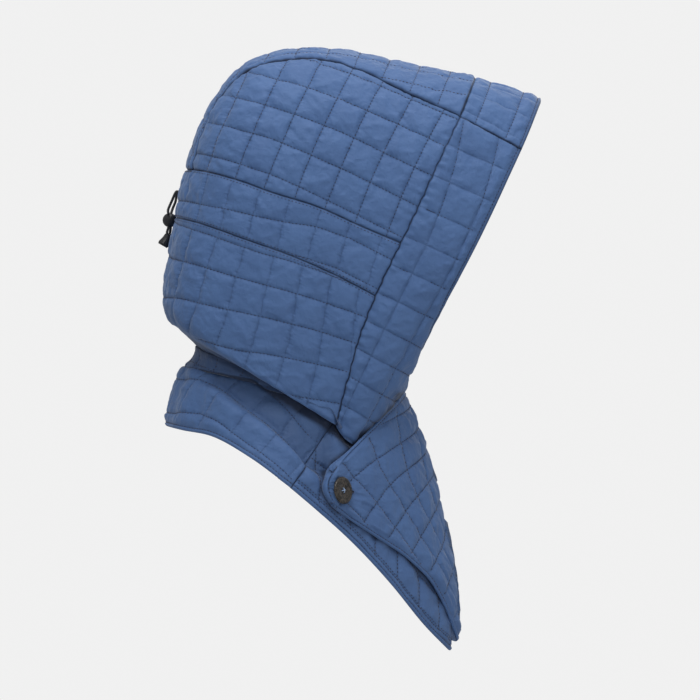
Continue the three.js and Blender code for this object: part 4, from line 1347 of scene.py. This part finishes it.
def over_folds(grid, s, t, u, v):
    """The buttoned end of the flap stands off the front under it."""
    curl = FLAP_CURL * (1 - smooth((s[:, -1:] - s) / FLAP_CURL_REACH))
    return curl + under_folds(grid, s, t, u, v) * over_left(u)


# Painted shade under the crown's edge, on the part of the over panel that lies like the right
# front.
def over_shade(grid, s, t, u, v):
    return cover_shade(grid, s, t, u, v) * over_left(u)


def edge_in_view(outer):
    """The flap's edge as seen from the side: along its top, round its end and along its bottom."""
    half = outer.shape[1] // 2
    run = np.concatenate([outer[0, half:], outer[:, -1], outer[-1, half:][::-1]])
    return run[::2, [0, 2]]


def flap_shade(grid, s, t, u, v):
    """Painted shadow close round the flap, on the cloth that it lies on."""
    x, z = grid[..., 0], grid[..., 2]
    near = np.full(x.shape, 99.0)
    for a, b in flap_outline:
        near = np.minimum(near, np.hypot(x - a, z - b))
    reach = np.maximum(2.7 * (1 + 0.7 * noise_2d(x / 5.0, z / 5.0, 91)), 0.5)
    on_right = smooth(-grid[..., 1] / 6.0 + 0.5)
    return 0.95 * np.exp(-(np.maximum(near - 0.4, 0) / reach) ** 1.4) * on_right


def brim_tuck(grid, s, t, u, v):
    """The chin end of the brim goes in behind the flap."""
    return -BRIM_TUCK * (1 - smooth((s[:, -1:] - s) / 16.0)) * rise(grid[..., 0], 34, 48)


# Painted shade along the brim's front edge.
def brim_top_shade(grid, s, t, u, v):
    return BRIM_EDGE_PAINTED_SHADE * (1 - rise(t[-1:] - t, 2, 3))


# Painted shade: the brim's edge and the shadow round the flap.
def brim_shade(grid, s, t, u, v):
    return np.maximum(brim_top_shade(grid, s, t, u, v), flap_shade(grid, s, t, u, v))


# Painted shade: under the crown's edge and round the flap.
def under_shade(grid, s, t, u, v):
    return np.maximum(cover_shade(grid, s, t, u, v), flap_shade(grid, s, t, u, v))


def brim_top_rise(grid, s, t, u, v):
    return BRIM_TOP_LIFT * smooth(v)[:, None] * np.ones_like(s)


# Camera at the photograph's angle
LENS = 600.0
SENSOR_WIDTH = 36.0


def make_camera():
    data = bpy.data.cameras.new("camera")
    data.lens, data.sensor_width, data.clip_end = LENS, SENSOR_WIDTH, 60.0
    camera = link("camera", data)
    distance = PHOTO_SPAN * MM * LENS / SENSOR_WIDTH
    camera.location = (PHOTO_CENTRE[0] * MM, -distance, PHOTO_CENTRE[1] * MM)
    camera.rotation_euler = (math.radians(90), 0, 0)
    bpy.context.scene.camera = camera


# Elastic drawcord, lock and cord end
BRAID_PITCH = 0.0016
BRAID_DEPTH = 0.00009


def smooth_path(points, spacing=0.0004):
    """Points of a smooth curve through the route, close together."""
    p = np.array(points)
    ends = np.vstack([2 * p[0] - p[1], p, 2 * p[-1] - p[-2]])
    made = []
    for k in range(len(p) - 1):
        a, b, c, d = ends[k : k + 4]
        count = max(2, int(np.linalg.norm(c - b) / spacing))
        for x in np.arange(count) / count:
            curve = (2 * a - 5 * b + 4 * c - d) * x ** 2 + (3 * b - a - 3 * c + d) * x ** 3
            made.append(0.5 * (2 * b + (c - a) * x + curve))
    return np.array(made + [p[-1]])


def tube(name, path, radius, sides=16, relief=None):
    """A closed tube along a path in metres, with an optional relief over its surface."""
    ways, far = unit(np.gradient(path, axis=0)), distances(path)
    side = np.cross(ways[0], (0.0, 1.0, 0.3))
    turns = 2 * np.pi * np.arange(sides) / sides
    rings = []
    for k, way in enumerate(ways):
        side = unit(side - way * (side @ way))
        r = radius * np.ones(sides) if relief is None else radius + relief(turns, far[k])
        out = np.cos(turns)[:, None] * side + np.sin(turns)[:, None] * np.cross(way, side)
        rings.append(path[k] + r[:, None] * out)
    return make_mesh(name, np.concatenate(rings) / MM, ring_faces(len(path), sides))


def braid(turns, far):
    twist = 2 * np.pi * far / (4 * BRAID_PITCH)
    strands = np.maximum(np.sin(4 * (turns + twist)), np.sin(4 * (turns - twist)))
    return BRAID_DEPTH * strands - BRAID_DEPTH


def make_cords():
    for side, route in CORD_ROUTES.items():
        low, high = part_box(f"eyelet_{side}")
        eyelet = (np.array(low) + np.array(high)) / 2
        start = [tuple(eyelet + (0.0006, 0.0, 0.0)), tuple(eyelet + (-0.0026, 0.0, 0.0004))]
        path = smooth_path(start + route)
        cord = tube(f"drawcord_{side}", path, CORD_DIAMETER / 2, relief=braid)
        nodes = (f"cord_{side}_upper", f"cord_{side}_lower")
        finish_piece(cord, cord_material, "elastic_cord", *nodes)
        float(distances(path)[-1])


make_camera()
make_cords()

# The CAD solids that are kept as they are
for name, material in (
    ("cord_lock", lock_material), ("cord_end", lock_material), ("eyelet_right", eyelet_material),
    ("eyelet_left", eyelet_material), ("button_shank", button_thread_material),
):
    kept_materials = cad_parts[name].data.materials
    kept_materials.clear()
    kept_materials.append(material)

# Panels
HEM_STITCH = (("bottom", HEM_WIDTH),)
over_outer, over_normals = panel(
    "front_left_over", over_surface, over_quilt, "left seam, right hem, top hem, bottom hem",
    extra=over_folds, shade=over_shade, seed=951,
    topstitch=HEM_STITCH + (("right", HEM_WIDTH), ("top", HEM_WIDTH)),
)
flap_outline = edge_in_view(over_outer)
panel(
    "centre_panel", strip_surface, strip_quilt, "left roll, right roll, top seam, bottom gathered",
    extra=strip_rise, seed=101, puff=0.6,
)
for name, mirror, seed in (("right", False, 201), ("left", True, 251)):
    panel(
        f"side_panel_{name}", side_surface, seen_from_side(SIDE_LINES),
        "left seam, right gathered, top seam, bottom seam", seed=seed, mirror=mirror,
    )
panel(
    "drawcord_band", band_surface, band_quilt, "left seam, right seam, top seam, bottom seam",
    seed=301, topstitch=(("top", 2.0), ("bottom", 1.8)),
)
panel(
    "lower_panel", lower_surface, lower_quilt, "left seam, right seam, top seam",
    extra=lower_tuck, plain=lower_plain, shade=lower_shade, seed=401, topstitch=(("top", 1.8),),
)
panel(
    "neck_band", neck_surface, neck_quilt, "bottom seam", extra=neck_tuck, shade=neck_shade,
    seed=501, puff=0.4,
)
panel(
    "brim_top", brim_top_surface, brim_top_quilt,
    "left seam, right seam, top gathered, bottom hem", extra=brim_top_rise,
    shade=brim_top_shade, seed=601, topstitch=HEM_STITCH, puff=0.75,
)
for name, mirror, seed in (("right", False, 701), ("left", True, 651)):
    panel(
        f"brim_side_{name}", brim_side_surface, seen_from_side(BRIM_LINES),
        "left seam, top gathered, bottom hem", extra=brim_tuck, shade=brim_shade, seed=seed,
        mirror=mirror, topstitch=HEM_STITCH,
    )
panel(
    "cape_back", cape_surface, cape_quilt, "left seam, right seam, top seam, bottom hem",
    extra=cape_folds, shade=cover_shade, seed=801, topstitch=HEM_STITCH,
)
panel(
    "front_right_under", under_surface, under_quilt, "left seam, right hem, bottom hem",
    extra=under_folds, shade=under_shade, seed=901,
    topstitch=HEM_STITCH + (("bottom", 8.6), ("right", HEM_WIDTH)),
)


# Button with four holes, its thread, and the buttonhole
BUTTON_PLACE = (24.2, -350.4)
BUTTON_FACE = np.array([0.79, -0.60, 0.12])
BUTTON_CLEAR = 3.4
BUTTON_SIDES = 96
BUTTON_RINGS = (0.15, 4.2, 24), (4.4, 9.4, 18)
BUTTON_RIM = (9.8, 10.2, 10.5, 10.8, 11.0)
BUTTON_PROFILE = table(
    "r h",
    (0, 0.75), (3.6, 0.8), (4.6, 1.0), (6, 1.35), (8, 1.6), (9.4, 1.55), (10.3, 1.2), (10.8, 0.6),
    (11, 0),
)
UNDER_PROFILE = ((11.0, -0.5), (10.6, -1.1), (9.6, -1.4), (6.0, -1.4))
HOLE_AWAY, HOLE_RADIUS, HOLE_DEPTH = 2.0, 0.72, 1.5
HOLE_ANGLES = (8, 98, 188, 278)
BUTTON_THREAD_RADIUS = 0.42
BUTTONHOLE_START, BUTTONHOLE_END = (20.0, -350.0), (35.5, -350.6)
BUTTONHOLE_STEPS, BUTTONHOLE_STITCHES = 12, 16
BUTTONHOLE_STITCH = 1.6
SLOT_RADIUS = 0.5


def make_button(centre, face):
    side = unit(np.cross((0.0, 0.0, 1.0), face))
    up = np.cross(face, side)

    def placed(x, y, h):
        return centre + x[:, None] * side + y[:, None] * up + h[:, None] * face

    radii = np.concatenate([np.linspace(*rings) for rings in BUTTON_RINGS] + [BUTTON_RIM])
    turns = 2 * np.pi * np.arange(BUTTON_SIDES) / BUTTON_SIDES
    r, turn = np.meshgrid(radii, turns, indexing="ij")
    a, b = r * np.cos(turn), r * np.sin(turn)
    holes = [(HOLE_AWAY * math.cos(q), HOLE_AWAY * math.sin(q)) for q in np.radians(HOLE_ANGLES)]
    near = np.min([np.hypot(a - x, b - y) for x, y in holes], axis=0)
    height = column(BUTTON_PROFILE, "r", "h")(r)
    height -= HOLE_DEPTH * (1 - smooth((near - HOLE_RADIUS + 0.2) / 0.4))
    height += 0.26 * noise_2d(a / 1.3, b / 0.9, 61) * rise(r, 3.2, 4.2) * smooth(10.6 - r)
    rows = list(zip(a, b, height))
    for q, h in UNDER_PROFILE:
        rows.append((q * np.cos(turns), q * np.sin(turns), np.full(BUTTON_SIDES, h)))
    points = np.concatenate([placed(*row) for row in rows])
    button = make_mesh("four_hole_button", points, ring_faces(len(rows), BUTTON_SIDES))
    finish_piece(button, horn_material, "button_horn", "button")
    part = np.linspace(0, 1, 25)
    bow = 0.75 + 0.55 * np.sin(np.pi * part) ** 0.5 - np.abs(2 * part - 1) ** 8
    for k in (0, 1):
        (x0, y0), (x1, y1) = holes[k], holes[k + 2]
        bar = placed(lerp(x0, x1, part), lerp(y0, y1, part), bow)
        thread = tube(f"button_thread_{k + 1}", bar * MM, BUTTON_THREAD_RADIUS * MM, sides=8)
        finish_piece(thread, button_thread_material, "thread")


def nearest(x, z, outer):
    """Row and column of the point on the flap's right half that is nearest in side view."""
    half = outer.shape[1] // 2
    away = np.hypot(outer[:, half:, 0] - x, outer[:, half:, 2] - z)
    i, j = np.unravel_index(away.argmin(), away.shape)
    return i, j + half


def make_buttonhole(outer, normals):
    """Thread worked round a short slot in the cloth, and a dark tube in the slot that is painted
    shade.
    """
    ends = np.array([BUTTONHOLE_START, BUTTONHOLE_END])
    line = lerp(*ends, np.linspace(0, 1, BUTTONHOLE_STEPS)[:, None])
    places = [nearest(x, z, outer) for x, z in line]
    middle = np.array([outer[place] for place in places])
    up = np.array([normals[place] for place in places])
    across = np.cross(up, unit(middle[-1] - middle[0]))
    share = np.linspace(0, 1, 6)[:, None]
    runs = []
    for k in np.linspace(0, 1, BUTTONHOLE_STITCHES):
        at, step = lerp(middle[0], middle[-1], k), int(k * (BUTTONHOLE_STEPS - 1))
        n, out = up[step], across[step]
        for side in (-1, 1):
            inside, outside = at + side * 0.35 * out + 0.35 * n, at + side * 1.9 * out + 0.2 * n
            runs.append((lerp(inside, outside, share), np.tile(n, (len(share), 1))))
    thread = stitches("buttonhole_stitches", runs, BUTTONHOLE_STITCH, BUTTONHOLE_STITCH, 0.0)
    finish_piece(thread, eyelet_material, "thread")
    # A dark tube along the slot is painted shade in the buttonhole's opening.
    slot = tube("buttonhole_painted_shadow", (middle + 0.15 * up) * MM, SLOT_RADIUS * MM, sides=8)
    finish_piece(slot, lock_material, "thread")


under_button = nearest(*BUTTON_PLACE, over_outer)
button_centre = over_outer[under_button] + over_normals[under_button] * BUTTON_CLEAR
make_button(button_centre, unit(BUTTON_FACE))
make_buttonhole(over_outer, over_normals)


# Studio
FLOOR_Z = -0.62
FLOOR_PROFILE = ((0.0, 0.0), (15.0, 0.0), (18.0, 0.3), (20.0, 1.6), (21.0, 4.0), (21.5, 14.0))
PALE = 0.876


def make_floor():
    sides = 96
    turns = 2 * np.pi * np.arange(sides) / sides
    rings = [
        xyz(radius * np.cos(turns), radius * np.sin(turns), FLOOR_Z + height)
        for radius, height in FLOOR_PROFILE
    ]
    faces = grid_faces(ring_ids(len(rings), sides), True)
    floor = make_mesh("floor", np.concatenate(rings) / MM, faces)
    black, white = (0.0, 0.0, 0.0, 1.0), (1.0, 1.0, 1.0, 1.0)
    floor.data.materials.append(new_material("studio_pale").surface({
        "Base Color": black, "Roughness": 1.0, "Specular IOR Level": 0.0,
        "Emission Color": white, "Emission Strength": PALE,
    }))
    floor.visible_diffuse = False
    floor.visible_glossy = False
    floor.visible_shadow = False


# Each soft box: its place, its width and height, and its power in watts.
SOFT_BOXES = {
    "key_softbox": ((-0.3, -1.3, 1.6), 0.8, 18.0),
    "top_softbox": ((0.3, 0.1, 2.2), 1.4, 22.0),
    "front_softbox": ((1.3, -2.2, -0.9), 1.2, 9.0),
    "back_softbox": ((0.6, 2.4, 0.9), 1.4, 12.0),
}
LIT_MIDDLE = Vector((0.03, 0.0, -0.2))
WORLD_BELOW, WORLD_ABOVE = 0.36, 0.44


def make_studio():
    """A world that is brighter above than below, and soft boxes."""
    tree = Tree(bpy.data.worlds.new("studio"))
    place = tree.add("TexCoord").outputs["Generated"]
    height = tree.add("SeparateXYZ", {"Vector": place}).outputs["Z"]
    strength = tree.spread(height, WORLD_BELOW, WORLD_ABOVE, -1.0)
    tree.fill(tree.nodes["Background"], {"Color": (1.0, 1.0, 1.0, 1.0), "Strength": strength})
    bpy.context.scene.world = tree.owner
    for name, (place, size, power) in SOFT_BOXES.items():
        data = bpy.data.lights.new(name, "AREA")
        data.shape = "RECTANGLE"
        data.size, data.size_y, data.energy = size, size, power
        light = link(name, data)
        light.location = place
        light.rotation_euler = (LIT_MIDDLE - Vector(place)).to_track_quat("-Z", "Y").to_euler()
    bpy.context.scene.view_settings.view_transform = "Standard"


make_floor()
make_studio()
